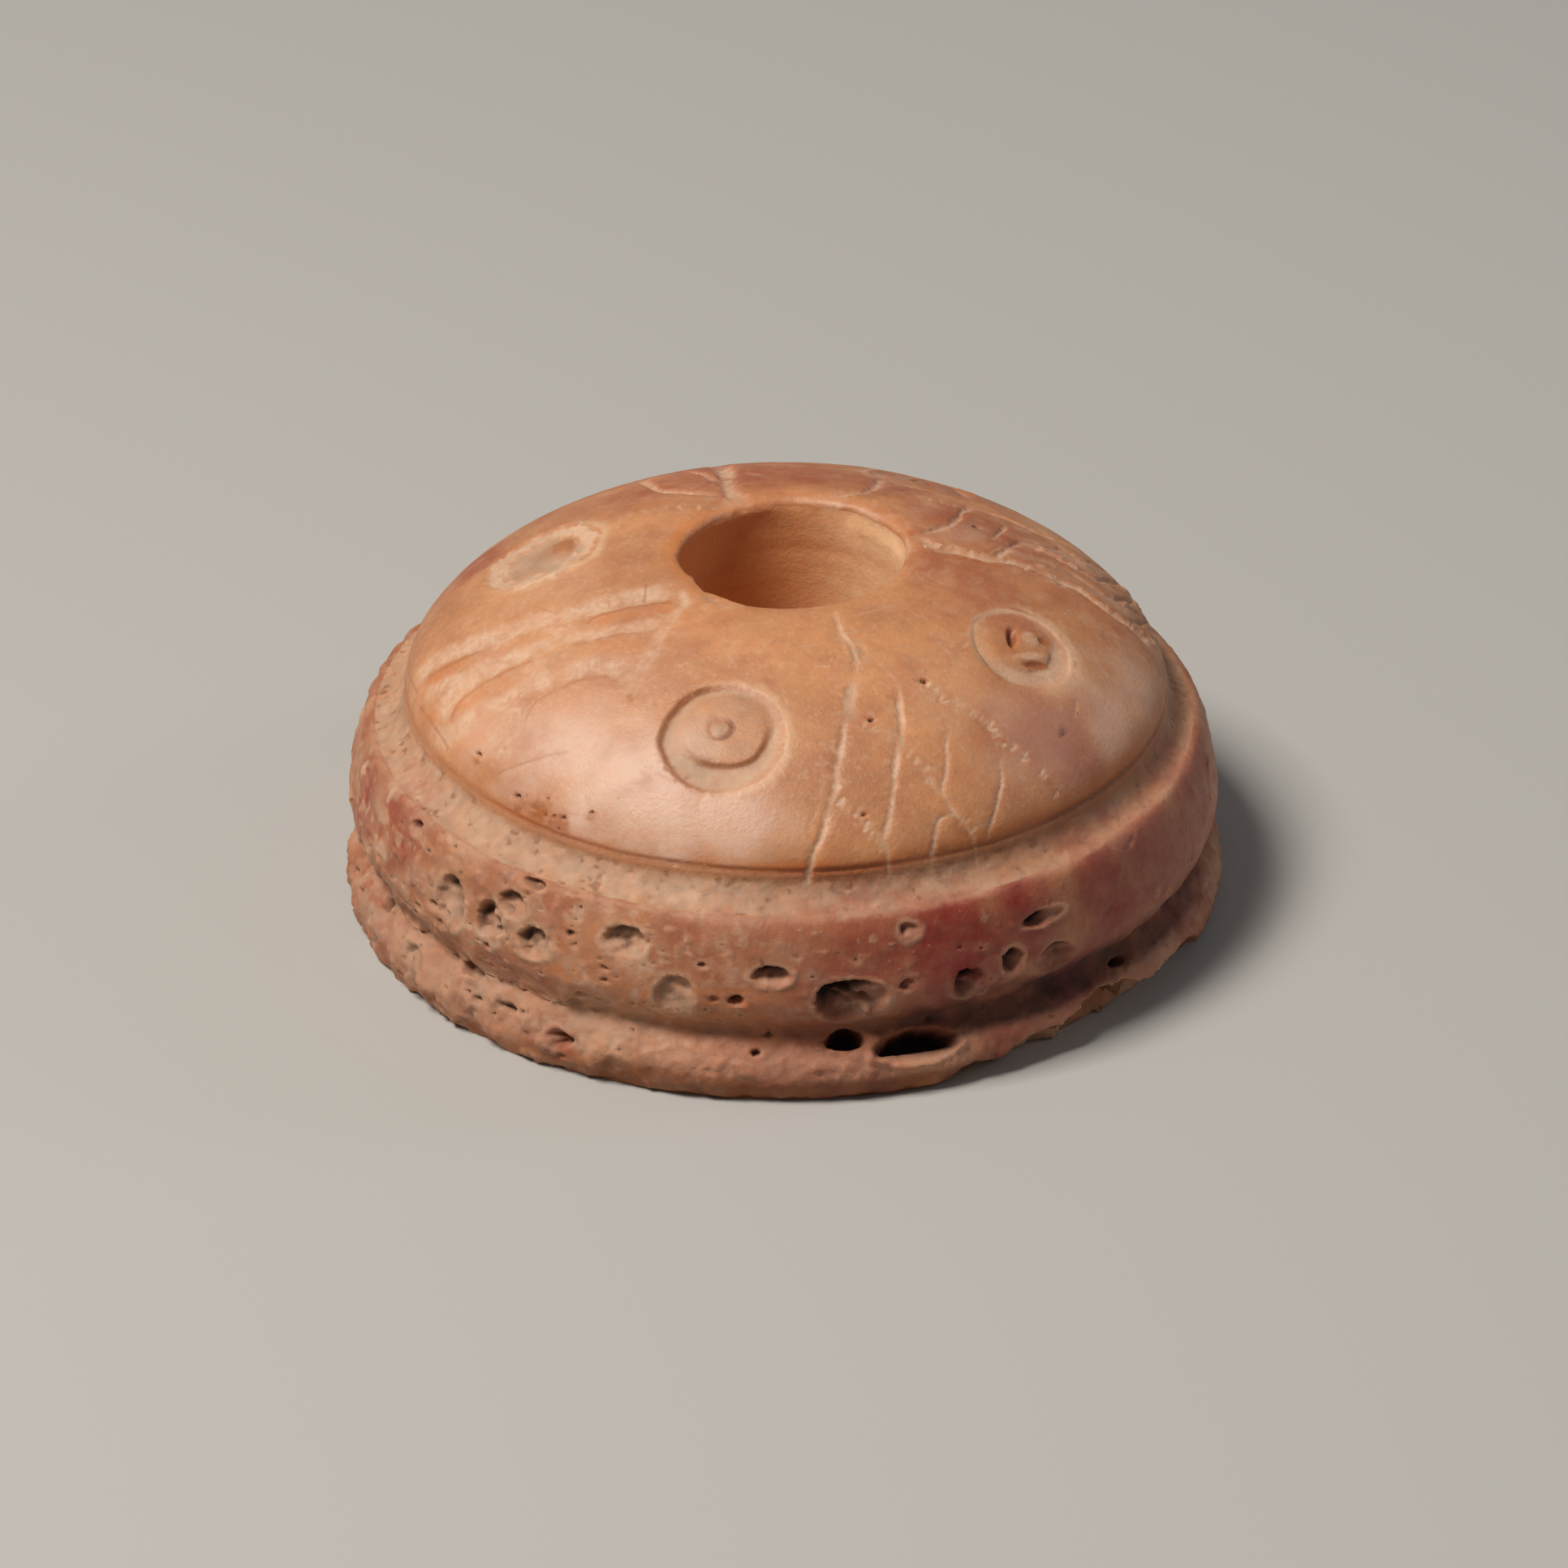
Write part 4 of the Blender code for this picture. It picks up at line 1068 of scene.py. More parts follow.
print(f"large pores: {len(PORES)}")

# %% [markdown]
# Between the pores the skin of the bone is blistered: pale knobs where the sponge behind is
# nearly worn through, and shallow pale patches. They are most crowded on the left.

# %% Knobs and patches
KNOBS = [
    # azimuth, height, width, tallness, how far it stands out, how pale
    (203.5, 4.60, 1.50, 1.00, 0.03, 0.90),
    (211.5, 4.20, 0.75, 0.45, 0.06, 0.90),
    (190.0, 5.25, 1.50, 1.10, 0.02, 0.85),
    (202.0, 5.92, 1.40, 0.80, 0.03, 0.85),
    (203.0, 6.85, 1.60, 0.50, 0.02, 0.70),
    (221.2, 6.72, 0.50, 0.40, 0.08, 0.85),
    (227.5, 5.60, 0.62, 0.38, 0.08, 0.85),
    (229.5, 6.45, 0.42, 0.34, 0.07, 0.90),
    (240.5, 6.05, 0.30, 0.28, 0.05, 0.90),
    (239.0, 5.15, 0.28, 0.30, 0.05, 0.85),
    (244.1, 4.06, 0.30, 0.30, 0.05, 0.90),
    (231.8, 3.64, 0.42, 0.36, 0.07, 0.80),
    (220.5, 1.50, 0.95, 0.50, 0.08, 0.90),
    (222.0, 3.90, 0.85, 0.55, 0.09, 0.75),
    (216.5, 5.00, 0.50, 0.90, 0.05, 0.60),
    (234.3, 4.20, 0.60, 0.45, 0.08, 0.80),
    (240.0, 4.70, 0.35, 0.55, 0.05, 0.80),
    (208.0, 2.60, 0.80, 0.50, 0.06, 0.70),
    (197.0, 2.00, 0.90, 0.60, 0.08, 0.75),
    (190.0, 2.40, 0.80, 0.60, 0.06, 0.70),
    (235.5, 1.95, 0.60, 0.40, 0.06, 0.60),
    (257.5, 6.27, 0.42, 0.34, 0.02, 0.60),
    (254.2, 5.96, 0.30, 0.22, 0.02, 0.75),
    (264.0, 6.60, 0.55, 0.42, 0.03, 0.75),
    (262.8, 5.78, 0.50, 0.38, 0.03, 0.70),
    (264.9, 6.30, 0.38, 0.55, 0.03, 0.70),
    (281.8, 6.23, 0.42, 0.26, 0.02, 0.70),
    (274.8, 5.96, 0.55, 0.16, 0.02, 0.65),
    (272.2, 3.26, 0.85, 0.55, 0.02, 0.65),
    (296.8, 6.30, 0.26, 0.42, 0.02, 0.75),
    (120.0, 5.60, 0.70, 0.50, 0.05, 0.70),
    (75.0, 6.00, 0.80, 0.50, 0.05, 0.70),
]


def raise_knob(azimuth, height, width, tallness, rise, pale, seed):
    """Swell one blister out of the side and make it pale."""
    centre, along, up, _ = find_spot(azimuth, height=height)
    index = around(centre, max(width, tallness))
    near = POINTS[index] - centre
    reach = np.hypot(near @ along / (width / 2), near @ up / (tallness / 2))
    reach += 0.22 * cloud(POINTS[index], 0.35 * width, seed)
    carved[index] -= rise * ease(reach, 1.2, 0.2)
    tone = 0.85 + 0.3 * cloud(POINTS[index], 0.25, seed + 1)
    coat(dust, index, pale * tone * ease(reach, 1.15, 0.65))
    wipe(index, 0.8 * ease(reach, 1.15, 0.6))
    gloss[index] *= 1.0 - 0.4 * ease(reach, 1.1, 0.6)


for number, knob in enumerate(KNOBS):
    raise_knob(*knob, 1100 + 2 * number)
print(f"knobs and patches: {len(KNOBS)}")

# %% [markdown]
# The side has scratches of its own, thin and mostly short. Their routes are given by azimuth
# and height, because seen from above a steep side is only a narrow ring.

# %% Scratches on the side
SIDE_SCRATCHES = [
    # points (azimuth, height), width, depth, how dusty
    ([(253.6, 4.86), (257.2, 5.00)], 0.10, 0.03, 0.90),
    ([(258.4, 2.26), (261.9, 2.31)], 0.14, 0.04, 0.80),
    ([(262.4, 4.30), (261.9, 3.85), (260.6, 3.40)], 0.16, 0.04, 0.75),
    ([(313.0, 4.95), (312.4, 4.50), (311.8, 4.00)], 0.12, 0.04, 0.60),
    ([(325.6, 6.95), (322.0, 6.38), (320.0, 5.80), (318.5, 5.28)], 0.13, 0.05, 0.80),
    ([(318.6, 5.30), (316.9, 4.88), (314.6, 4.50)], 0.20, 0.04, 0.45),
    ([(350.5, 2.15), (344.0, 2.45), (338.7, 2.75)], 0.42, 0.04, 0.60),
    ([(339.5, 2.70), (332.0, 3.20), (324.6, 3.75)], 0.48, 0.05, 0.75),
    ([(295.4, 2.20), (297.8, 2.16)], 0.12, 0.04, 0.60),
    ([(295.0, 2.00), (296.6, 1.97)], 0.10, 0.03, 0.60),
    ([(286.2, 4.20), (287.4, 3.90), (288.4, 3.62)], 0.16, 0.04, 0.80),
    ([(295.6, 4.60), (296.2, 4.90), (298.2, 4.98), (299.4, 4.80)], 0.14, 0.04, 0.65),
    ([(110.0, 6.40), (104.0, 5.90), (99.0, 4.30)], 0.16, 0.05, 0.70),
    ([(40.0, 5.80), (33.0, 4.60)], 0.14, 0.05, 0.70),
]
for seed, (route, width, depth, dusty) in enumerate(SIDE_SCRATCHES):
    cut_stroke(lift_to_side(even_steps(route, 1.0)), width, depth, dusty, 1700 + 10 * seed, softness=0.6)
print(f"scratches on the side: {len(SIDE_SCRATCHES)}")

# %% [markdown]
# Round the large pores lie many small ones. Most are filled and only show as pale dots, some
# are open. They are scattered by seeded chance, at a density that the table gives for each
# stretch.

# %% Small pores
SMALL_PORES = [
    # azimuth from and to, height from and to, how many, width from and to, how crowded with open ones
    (183.0, 244.0, 2.9, 6.7, 130, 0.16, 0.60, 0.28),
    (244.0, 262.0, 2.9, 6.5, 60, 0.14, 0.38, 0.22),
    (262.0, 312.0, 2.8, 6.7, 60, 0.12, 0.34, 0.16),
    (312.0, 543.0, 2.9, 6.7, 80, 0.15, 0.50, 0.35),
    (180.0, 250.0, 1.4, 2.9, 54, 0.20, 0.55, 0.40),
    (250.0, 345.0, 1.5, 2.6, 30, 0.14, 0.34, 0.40),
    (345.0, 540.0, 1.5, 2.8, 46, 0.18, 0.50, 0.40),
    (184.0, 246.0, 0.3, 1.4, 22, 0.16, 0.45, 0.40),
]


def scatter_side_pores():
    """Open or fill the small pores of every stretch of the side."""
    chance = np.random.default_rng(77)
    total = 0
    for az_from, az_to, low_end, high_end, count, small, large, openness in SMALL_PORES:
        for _ in range(count):
            azimuth = chance.uniform(az_from, az_to) % 360.0
            height = chance.uniform(low_end, high_end)
            width = small + (large - small) * chance.random() ** 2
            tallness = width * chance.uniform(0.6, 1.0)
            lean = chance.uniform(70.0, 160.0)
            seed = 4000 + 5 * total
            if chance.random() < openness:
                spot = find_spot(azimuth, height=height)
                depth = 0.5 * width * chance.uniform(0.7, 1.3)
                open_pore(*spot, (width, tallness, depth), lean, chance.uniform(0.2, 0.9), 0.7, seed)
            else:
                raise_knob(azimuth, height, width, tallness, 0.04, chance.uniform(0.45, 0.95), seed)
                if width > 0.3:
                    spot = find_spot(azimuth, height=height)
                    open_pore(*spot, (0.5 * width, 0.5 * tallness, 0.12), lean, 0.1, 0.6, seed + 2)
            total += 1
    return total


print(f"small pores: {scatter_side_pores()}")

# %% [markdown]
# The dome is dense bone, with only a few pinpricks: one long one on the left, a group by the
# foot, and single ones in front.

# %% Pinpricks on the dome
DOME_PORES = [
    # azimuth, radius, width, tallness, depth, how dark with painted shade
    (215.5, 13.30, 0.52, 0.22, 0.28, 0.80),
    (302.9, 9.10, 0.34, 0.30, 0.26, 0.70),
    (287.8, 10.07, 0.30, 0.22, 0.20, 0.60),
    (282.4, 12.95, 0.32, 0.16, 0.16, 0.50),
    (288.2, 7.65, 0.16, 0.16, 0.12, 0.40),
    (226.4, 13.62, 0.34, 0.36, 0.20, 0.75),
    (228.0, 13.55, 0.16, 0.16, 0.14, 0.70),
    (231.7, 13.45, 0.20, 0.18, 0.16, 0.70),
    (229.8, 13.66, 0.34, 0.14, 0.12, 0.55),
    (232.4, 13.68, 0.24, 0.16, 0.16, 0.75),
    (234.0, 13.66, 0.22, 0.20, 0.16, 0.75),
    (235.6, 13.62, 0.26, 0.20, 0.18, 0.80),
    (235.0, 13.76, 0.20, 0.16, 0.12, 0.60),
    (239.8, 13.40, 0.24, 0.20, 0.18, 0.65),
    (219.6, 12.85, 0.20, 0.16, 0.10, 0.40),
    (247.0, 12.30, 0.16, 0.14, 0.08, 0.35),
    (243.5, 12.90, 0.14, 0.14, 0.08, 0.35),
    (23.0, 7.65, 0.36, 0.44, 0.30, 0.85),
    (120.0, 9.50, 0.35, 0.26, 0.22, 0.70),
    (88.0, 11.00, 0.40, 0.30, 0.25, 0.75),
    (145.0, 12.20, 0.35, 0.24, 0.22, 0.70),
]
for number, (azimuth, radius, width, tallness, depth, dark) in enumerate(DOME_PORES):
    spot = find_spot(azimuth, radius=radius)
    open_pore(*spot, (width, tallness, depth), 100.0, 0.0, dark, 3000 + 5 * number)
tint_stroke(soil, lift_to_side([(228.6, 8.30), (231.0, 8.32)]), 0.22, 0.60, 3200)
print(f"pinpricks on the dome: {len(DOME_PORES)}")

# %% [markdown]
# Years of handling have left hairlines all over the dome. Most run round it, as the turning and
# the polishing did, and some climb it. They are short, very fine, and a little paler.

# %% Hairlines
HAIRLINES = 210


def scatter_hairlines():
    """Scratch short fine lines at random places on the dome."""
    chance = np.random.default_rng(91)
    for number in range(HAIRLINES):
        turn, radius = chance.uniform(0.0, math.tau), chance.uniform(5.2, 13.2)
        middle = radius * np.array((math.cos(turn), math.sin(turn)))
        climbs = chance.random() < 0.35
        heading = turn + (0.0 if climbs else math.pi / 2) + chance.normal(0.0, 0.25)
        half = chance.uniform(0.25, 0.9) * np.array((math.cos(heading), math.sin(heading)))
        route = lift_to_top(even_steps([middle - half, middle + half], 0.5))
        width, pale = chance.uniform(0.07, 0.11), chance.uniform(0.12, 0.42)
        cut_stroke(route, width, 0.008, pale, 5000 + 10 * number, end_length=0.3)


scatter_hairlines()
print(f"hairlines: {HAIRLINES}")

# %% [markdown]
# ## Wear and fine relief
#
# Handling and burial have left their own surface. The dome is polished but faintly dimpled, the
# side is rougher, the waist is dirty, and the flange is gritty above and brown below. Each zone
# gets a function of its own, and its tables of (azimuth, strength) stops say how the wear
# changes round the whorl. All share the same three clouds, so that relief and dirt fit.

# %% Wear of the dome and the band
BROAD = cloud(POINTS, 1.6, 900)
MIDDLE = cloud(POINTS, 0.55, 901)
GRIT = rough_cloud(POINTS, 0.22, 902, layers=2)
DOME_MOTTLE = [
    (0, 0.26), (60, 0.22), (200, 0.16), (235, 0.26), (258, 0.16), (275, 0.0),
    (300, 0.04), (330, 0.18),
]
BAND_RED = [
    (0, 0.30), (180, 0.25), (215, 0.18), (250, 0.12), (268, 0.28), (280, 0.42),
    (292, 0.62), (345, 0.50),
]
BAND_SOIL = [(0, 0.48), (180, 0.48), (215, 0.44), (250, 0.34), (275, 0.30), (292, 0.20), (345, 0.32)]
BAND_ASH = [(0, 0.15), (180, 0.30), (240, 0.36), (262, 0.18), (290, 0.05), (345, 0.10)]


def wear_dome():
    """Dimple the dome faintly, leave the fine rings of its turning, and mottle it."""
    turning = np.column_stack([FROM_AXIS, POINTS[:, 0] / FROM_AXIS, POINTS[:, 1] / FROM_AXIS])
    rings = cloud(turning, 0.15, 917)
    carved[:] += ON_DOME * (0.012 * BROAD + 0.006 * MIDDLE + 0.003 * GRIT + 0.003 * rings)
    mottled = ON_DOME * by_azimuth(DOME_MOTTLE)
    coat(dust, EVERYWHERE, mottled * ease(cloud(POINTS, 0.40, 925) + 0.5 * MIDDLE, 0.15, 0.70))
    coat(soil, EVERYWHERE, mottled * ease(cloud(POINTS, 0.55, 926) - 0.5 * MIDDLE, 0.15, 0.70))


def wear_band():
    """Roughen the band, and stain it red, brown and grey."""
    carved[:] += ON_BAND * (0.026 * BROAD + 0.022 * MIDDLE + 0.010 * GRIT)
    redness = by_azimuth(BAND_RED) * ON_BAND
    coat(blush, EVERYWHERE, redness * (1.0 + 0.8 * cloud(POINTS, 1.8, 915)))
    brownness = by_azimuth(BAND_SOIL) * ON_BAND
    coat(soil, EVERYWHERE, brownness * (0.80 + 1.1 * cloud(POINTS, 1.1, 916) + 0.5 * MIDDLE))
    grime = by_azimuth(BAND_ASH) * ON_BAND
    coat(ash, EVERYWHERE, grime * (1.0 + 0.7 * cloud(POINTS, 0.9, 918) + 0.4 * GRIT))


wear_dome()
wear_band()
print("dome and band worn")

# %% [markdown]
# On the left the sponge behind the skin shows through, so the band is knobbly and blistered
# there, most of all low down. Further round, the skin only holds pale grit and brown specks.

# %% Sponge and grit on the side
SPONGY = [(0, 0.25), (90, 0.35), (180, 0.9), (205, 1.0), (238, 1.0), (250, 0.45), (270, 0.25), (330, 0.15)]
WAIST_FILL = [(0, 0.0), (195, 0.0), (218, 0.20), (238, 0.18), (252, 0.05), (262, 0.0)]
SIDE_GRIT = [(0, 0.2), (190, 0.60), (250, 0.50), (268, 0.30), (285, 0.12), (345, 0.12)]


def show_sponge():
    """Raise knobs and blisters where the sponge shows, with pale grit, ash and soil on them."""
    knobbly = rough_cloud(POINTS, 0.95, 906, layers=2)
    spongy = by_azimuth(SPONGY) * ON_BAND
    low_side = ease(HEIGHTS, 3.6, 2.6) * ON_BAND
    blisters = ease(rough_cloud(POINTS, 0.50, 908, layers=2), 0.15, 0.85)
    carved[:] += low_side * (0.03 * MIDDLE + 0.020 * GRIT) + spongy * (0.040 + 0.110 * low_side) * knobbly
    carved[:] -= spongy * (0.08 + 0.04 * low_side) * blisters
    carved[:] -= by_azimuth(WAIST_FILL) * ON_BAND * ease(np.abs(HEIGHTS - WAIST_HEIGHT), 1.0, 0.1)
    pale = np.maximum(ease(knobbly, 0.2, -0.6), blisters)
    coat(dust, EVERYWHERE, spongy * (0.42 + 0.25 * low_side) * pale)
    coat(ash, EVERYWHERE, spongy * (0.25 + 0.40 * low_side) * ease(knobbly, -0.3, 0.6))
    coat(shade_and_grime, EVERYWHERE, 0.32 * spongy * ease(GRIT, 0.75, 1.15))
    coat(soil, EVERYWHERE, spongy * 0.60 * ease(knobbly, 0.3, 0.9))
    return spongy


def grit_side():
    """Pale grit, brown specks and shallow pits in the skin of the side."""
    gritty = ON_BAND * by_azimuth(SIDE_GRIT)
    coat(dust, EVERYWHERE, gritty * (1.6 * ease(cloud(POINTS, 0.30, 919), 0.25, 0.60)))
    coat(dust, EVERYWHERE, gritty * (0.8 * ease(rough_cloud(POINTS, 0.8, 923), 0.10, 0.70)))
    coat(soil, EVERYWHERE, gritty * (1.4 * ease(cloud(POINTS, 0.42, 921) + 0.4 * BROAD, 0.20, 0.60)))
    carved[:] -= 0.05 * gritty * ease(rough_cloud(POINTS, 0.45, 924, layers=2), 0.20, 0.80)


spongy = show_sponge()
grit_side()
print("sponge and grit on the side")

# %% [markdown]
# The flange has two faces: a gritty lip above, where dust has settled, and a brown face below,
# which still has its polish and is darkened further with painted shade under the lip. The waist
# over it kept the most dirt, and on the right painted shade makes it nearly black.

# %% Wear and painted shade of the flange and the waist
LIP_DUST = [(0, 0.6), (120, 0.4), (190, 0.75), (238, 0.65), (246, 0.65), (296, 0.65), (320, 0.5), (345, 0.8)]
LIP_ASH = [(0, 0.2), (190, 0.60), (230, 0.55), (250, 0.20), (345, 0.20)]
LIP_BOTTOM = [(0, 1.15), (180, 0.45), (215, 0.60), (240, 1.15), (255, 1.15), (270, 0.85), (345, 0.75)]
FACE_SOIL_AND_SHADE = [(0, 0.7), (190, 0.45), (220, 0.55), (235, 0.62), (285, 0.65), (300, 1.0)]
FACE_AMBER = [(0, 0.1), (190, 0.2), (235, 1.0), (280, 1.0), (300, 0.3)]
FACE_SHADE = [(0, 0.2), (190, 0.0), (235, 0.15), (246, 0.36), (262, 0.40), (282, 0.46), (345, 0.38)]
WAIST_SOIL_AND_SHADE = [(0, 0.5), (180, 0.35), (235, 0.35), (262, 0.55), (288, 1.0), (345, 1.0)]
WAIST_ASH = [(0, 0.2), (180, 0.5), (240, 0.5), (262, 0.35), (285, 0.05), (345, 0.05)]
WAIST_SHADE = [(0, 0.2), (262, 0.05), (284, 0.40), (298, 0.75), (325, 0.70), (345, 0.30)]


def wear_flange():
    """Dust the flange's lip and brown its lower face with soil and painted shade; returns how much a point
    is of each.
    """
    bottom = by_azimuth(LIP_BOTTOM)
    lip = ON_SIDE * ease(HEIGHTS, 2.15, 1.80) * ease(HEIGHTS, bottom - 0.2, bottom + 0.2)
    coat(dust, EVERYWHERE, lip * by_azimuth(LIP_DUST) * (0.75 + 0.35 * MIDDLE + 0.35 * GRIT))
    coat(ash, EVERYWHERE, lip * by_azimuth(LIP_ASH) * (1.0 + 0.9 * cloud(POINTS, 0.8, 922)))
    carved[:] += 0.035 * lip * GRIT
    face = ON_SIDE * ease(HEIGHTS, bottom + 0.25, bottom - 0.15)
    # Soil and amber brown the face, and painted shade, with part of the soil, darkens it under the lip
    coat(soil, EVERYWHERE, face * by_azimuth(FACE_SOIL_AND_SHADE) * (0.8 + 0.45 * cloud(POINTS, 1.1, 903)))
    coat(amber, EVERYWHERE, face * by_azimuth(FACE_AMBER) * (0.8 + 0.4 * MIDDLE))
    coat(shade_and_grime, EVERYWHERE, face * by_azimuth(FACE_SHADE) * (1.0 + 0.5 * MIDDLE))
    return lip, face


def dirty_and_shaded_waist():
    """Fill the waist with soil, dust and ash, and blacken it with painted shade; returns how much a point is
    in it.
    """
    waist = ON_BAND * ease(np.abs(HEIGHTS - WAIST_HEIGHT - 0.15), 0.95, 0.25)
    brown = by_azimuth(WAIST_SOIL_AND_SHADE)
    coat(soil, EVERYWHERE, waist * brown * (0.9 + 0.4 * cloud(POINTS, 1.2, 904)))
    dirty = waist * by_azimuth(WAIST_ASH)
    coat(dust, EVERYWHERE, dirty * (0.8 + cloud(POINTS, 0.6, 905)))
    coat(ash, EVERYWHERE, dirty * (0.8 + 0.7 * cloud(POINTS, 1.1, 907)))
    # Painted shade blackens the waist where it is brownest, most on the right
    coat(shade_and_grime, EVERYWHERE, 0.70 * waist * brown**3 * (0.8 + 0.4 * MIDDLE))
    # Painted shade: on the right the band low over the flange lies in shadow, so it is blackened and dulled
    shaded = ON_BAND * ease(HEIGHTS, 1.70, 1.95) * ease(HEIGHTS, 4.00, 3.10)
    shaded *= by_azimuth(WAIST_SHADE)
    coat(shade_and_grime, EVERYWHERE, 0.85 * shaded * (1.0 + 0.3 * BROAD + 0.4 * MIDDLE))
    gloss[:] *= 1.0 - shaded
    return waist


lip, face = wear_flange()
waist = dirty_and_shaded_waist()
gloss[:] *= (1.0 - 0.5 * np.maximum(lip, waist) - 0.15 * spongy) * (1.0 - 0.6 * face)
print("flange and waist worn")

# %% [markdown]
# ## Bore and flat side
#
# The bore keeps the fine rings that the borer left, and painted light, pale as fresh bone,
# brightens its wall on the right, where the large light shines in, and a little at the back. Its
# rim is worn round, pale and pricked at the back and on the right, and chipped straight in front
# on the left. The flat side shows the fine sponge of the bone's inside.

# %% Bore, rim and flat side
RIM_WANDER = [
    (21, 0.18), (52, 0.12), (90, 0.02), (125, -0.16), (145, -0.14), (161, -0.13), (179, -0.02), (195, -0.05),
    (207, -0.13), (224, 0.15), (228, 0.06), (237, 0.02), (250, 0.12), (270, 0.05), (299, -0.08), (355, 0.04),
]
RIM_PALE = [
    (0, 0.60), (20, 0.60), (60, 0.50), (100, 0.50), (125, 0.4), (160, 0.25),
    (205, 0.2), (240, 0.5), (262, 0.2), (330, 0.35),
]
RIM_AMBER = [(0, 0.1), (90, 0.2), (125, 0.4), (150, 0.55), (215, 0.50), (235, 0.3), (262, 0.1)]


def wear_rim():
    """Let the hole's edge wander in and out, and prick and pale it."""
    index = np.flatnonzero((HEIGHTS > HEIGHT - 1.2) & (FROM_AXIS < CREST_RADIUS + 0.9))
    places = POINTS[index]
    share = ease(HEIGHTS[index], HEIGHT - 1.2, HEIGHT - 0.35)
    share *= ease(FROM_AXIS[index], CREST_RADIUS + 0.9, BORE_RADIUS + 0.1)
    step = by_azimuth(RIM_WANDER, index) + 0.04 * cloud(places, 0.8, 930) + 0.02 * cloud(places, 0.25, 931)
    radial = places * (1.0, 1.0, 0.0) / FROM_AXIS[index, None]
    shifted[index] += radial * (step * share)[:, None]
    pale = by_azimuth(RIM_PALE, index) * ease(FROM_AXIS[index], CREST_RADIUS - 0.25, BORE_RADIUS + 0.1)
    pale *= ease(HEIGHTS[index], HEIGHT - 0.55, HEIGHT - 0.25)
    pricks = ease(cloud(places, 0.45, 932), -0.35, 0.35)
    coat(dust, index, pale * (0.25 + 0.75 * pricks))
    inner = ease(FROM_AXIS[index], CREST_RADIUS + 0.2, BORE_RADIUS + 0.15)
    coat(amber, index, by_azimuth(RIM_AMBER, index) * inner)
    ash[index] *= 1.0 - inner
    carved[index] += 0.035 * pale * rough_cloud(places, 0.4, 933, layers=2)


BORE_AMBER = [(0, 0.25), (40, 0.40), (90, 0.90), (140, 0.95), (190, 1.0), (280, 0.7)]
# Pale fresh bone and painted light on the bore's wall, strongest on the right, where the large light reaches
BORE_FRESH_AND_LIT = [(0, 0.95), (45, 0.88), (80, 0.42), (110, 0.26), (150, 0.22), (200, 0.0), (300, 0.5)]


def mark_bore():
    """Rings that the borer left round the bore's wall, amber on one side, fresh and painted light on the
    other.
    """
    index = np.flatnonzero(IN_BORE)
    rings = POINTS[index] * (0.08, 0.08, 1.0)
    carved[index] += 0.020 * cloud(rings, 0.40, 910) + 0.012 * cloud(rings, 0.16, 911)
    tone = 1.0 + 0.25 * cloud(rings, 0.8, 912) + 0.25 * cloud(rings, 0.14, 913)
    coat(amber, index, by_azimuth(BORE_AMBER, index) * tone)
    coat(fresh_and_lit, index, by_azimuth(BORE_FRESH_AND_LIT, index) * tone)
    gloss[index] = 0.55


def open_flat_sponge():
    """Small pits all over the flat side, which only ever go inwards."""
    sponge = rough_cloud(POINTS, 0.75, 920, layers=2)
    pits = ease(sponge, 0.35, 0.75) * ease(FROM_AXIS, 15.3, 14.6) * ease(FROM_AXIS, 4.4, 5.2)
    sink(np.flatnonzero(ON_FLAT), (0.22 * pits)[ON_FLAT])
    coat(soil, EVERYWHERE, ON_FLAT * pits * 0.7)
    coat(dust, EVERYWHERE, ON_FLAT * (0.35 + 0.5 * cloud(POINTS, 1.5, 921)))
    gloss[:] *= 1.0 - 0.6 * ON_FLAT


wear_rim()
mark_bore()
open_flat_sponge()
print("bore, rim and flat side worn")

# %% [markdown]
# ## Stains, faded places and painted sheen
#
# Old bone takes up colour from the ground: red and purple blushes on the band and the dome,
# ochre and grey ash low on the left, and spots of dirt at the dome's foot. Where it was handled
# it has a paler, pinkish polish, which also carries a painted sheen where the lights shine on
# the dome, under thin veils of dust. They are soft patches with wandering edges, each set at a
# place on the whorl, and every table has the same columns.

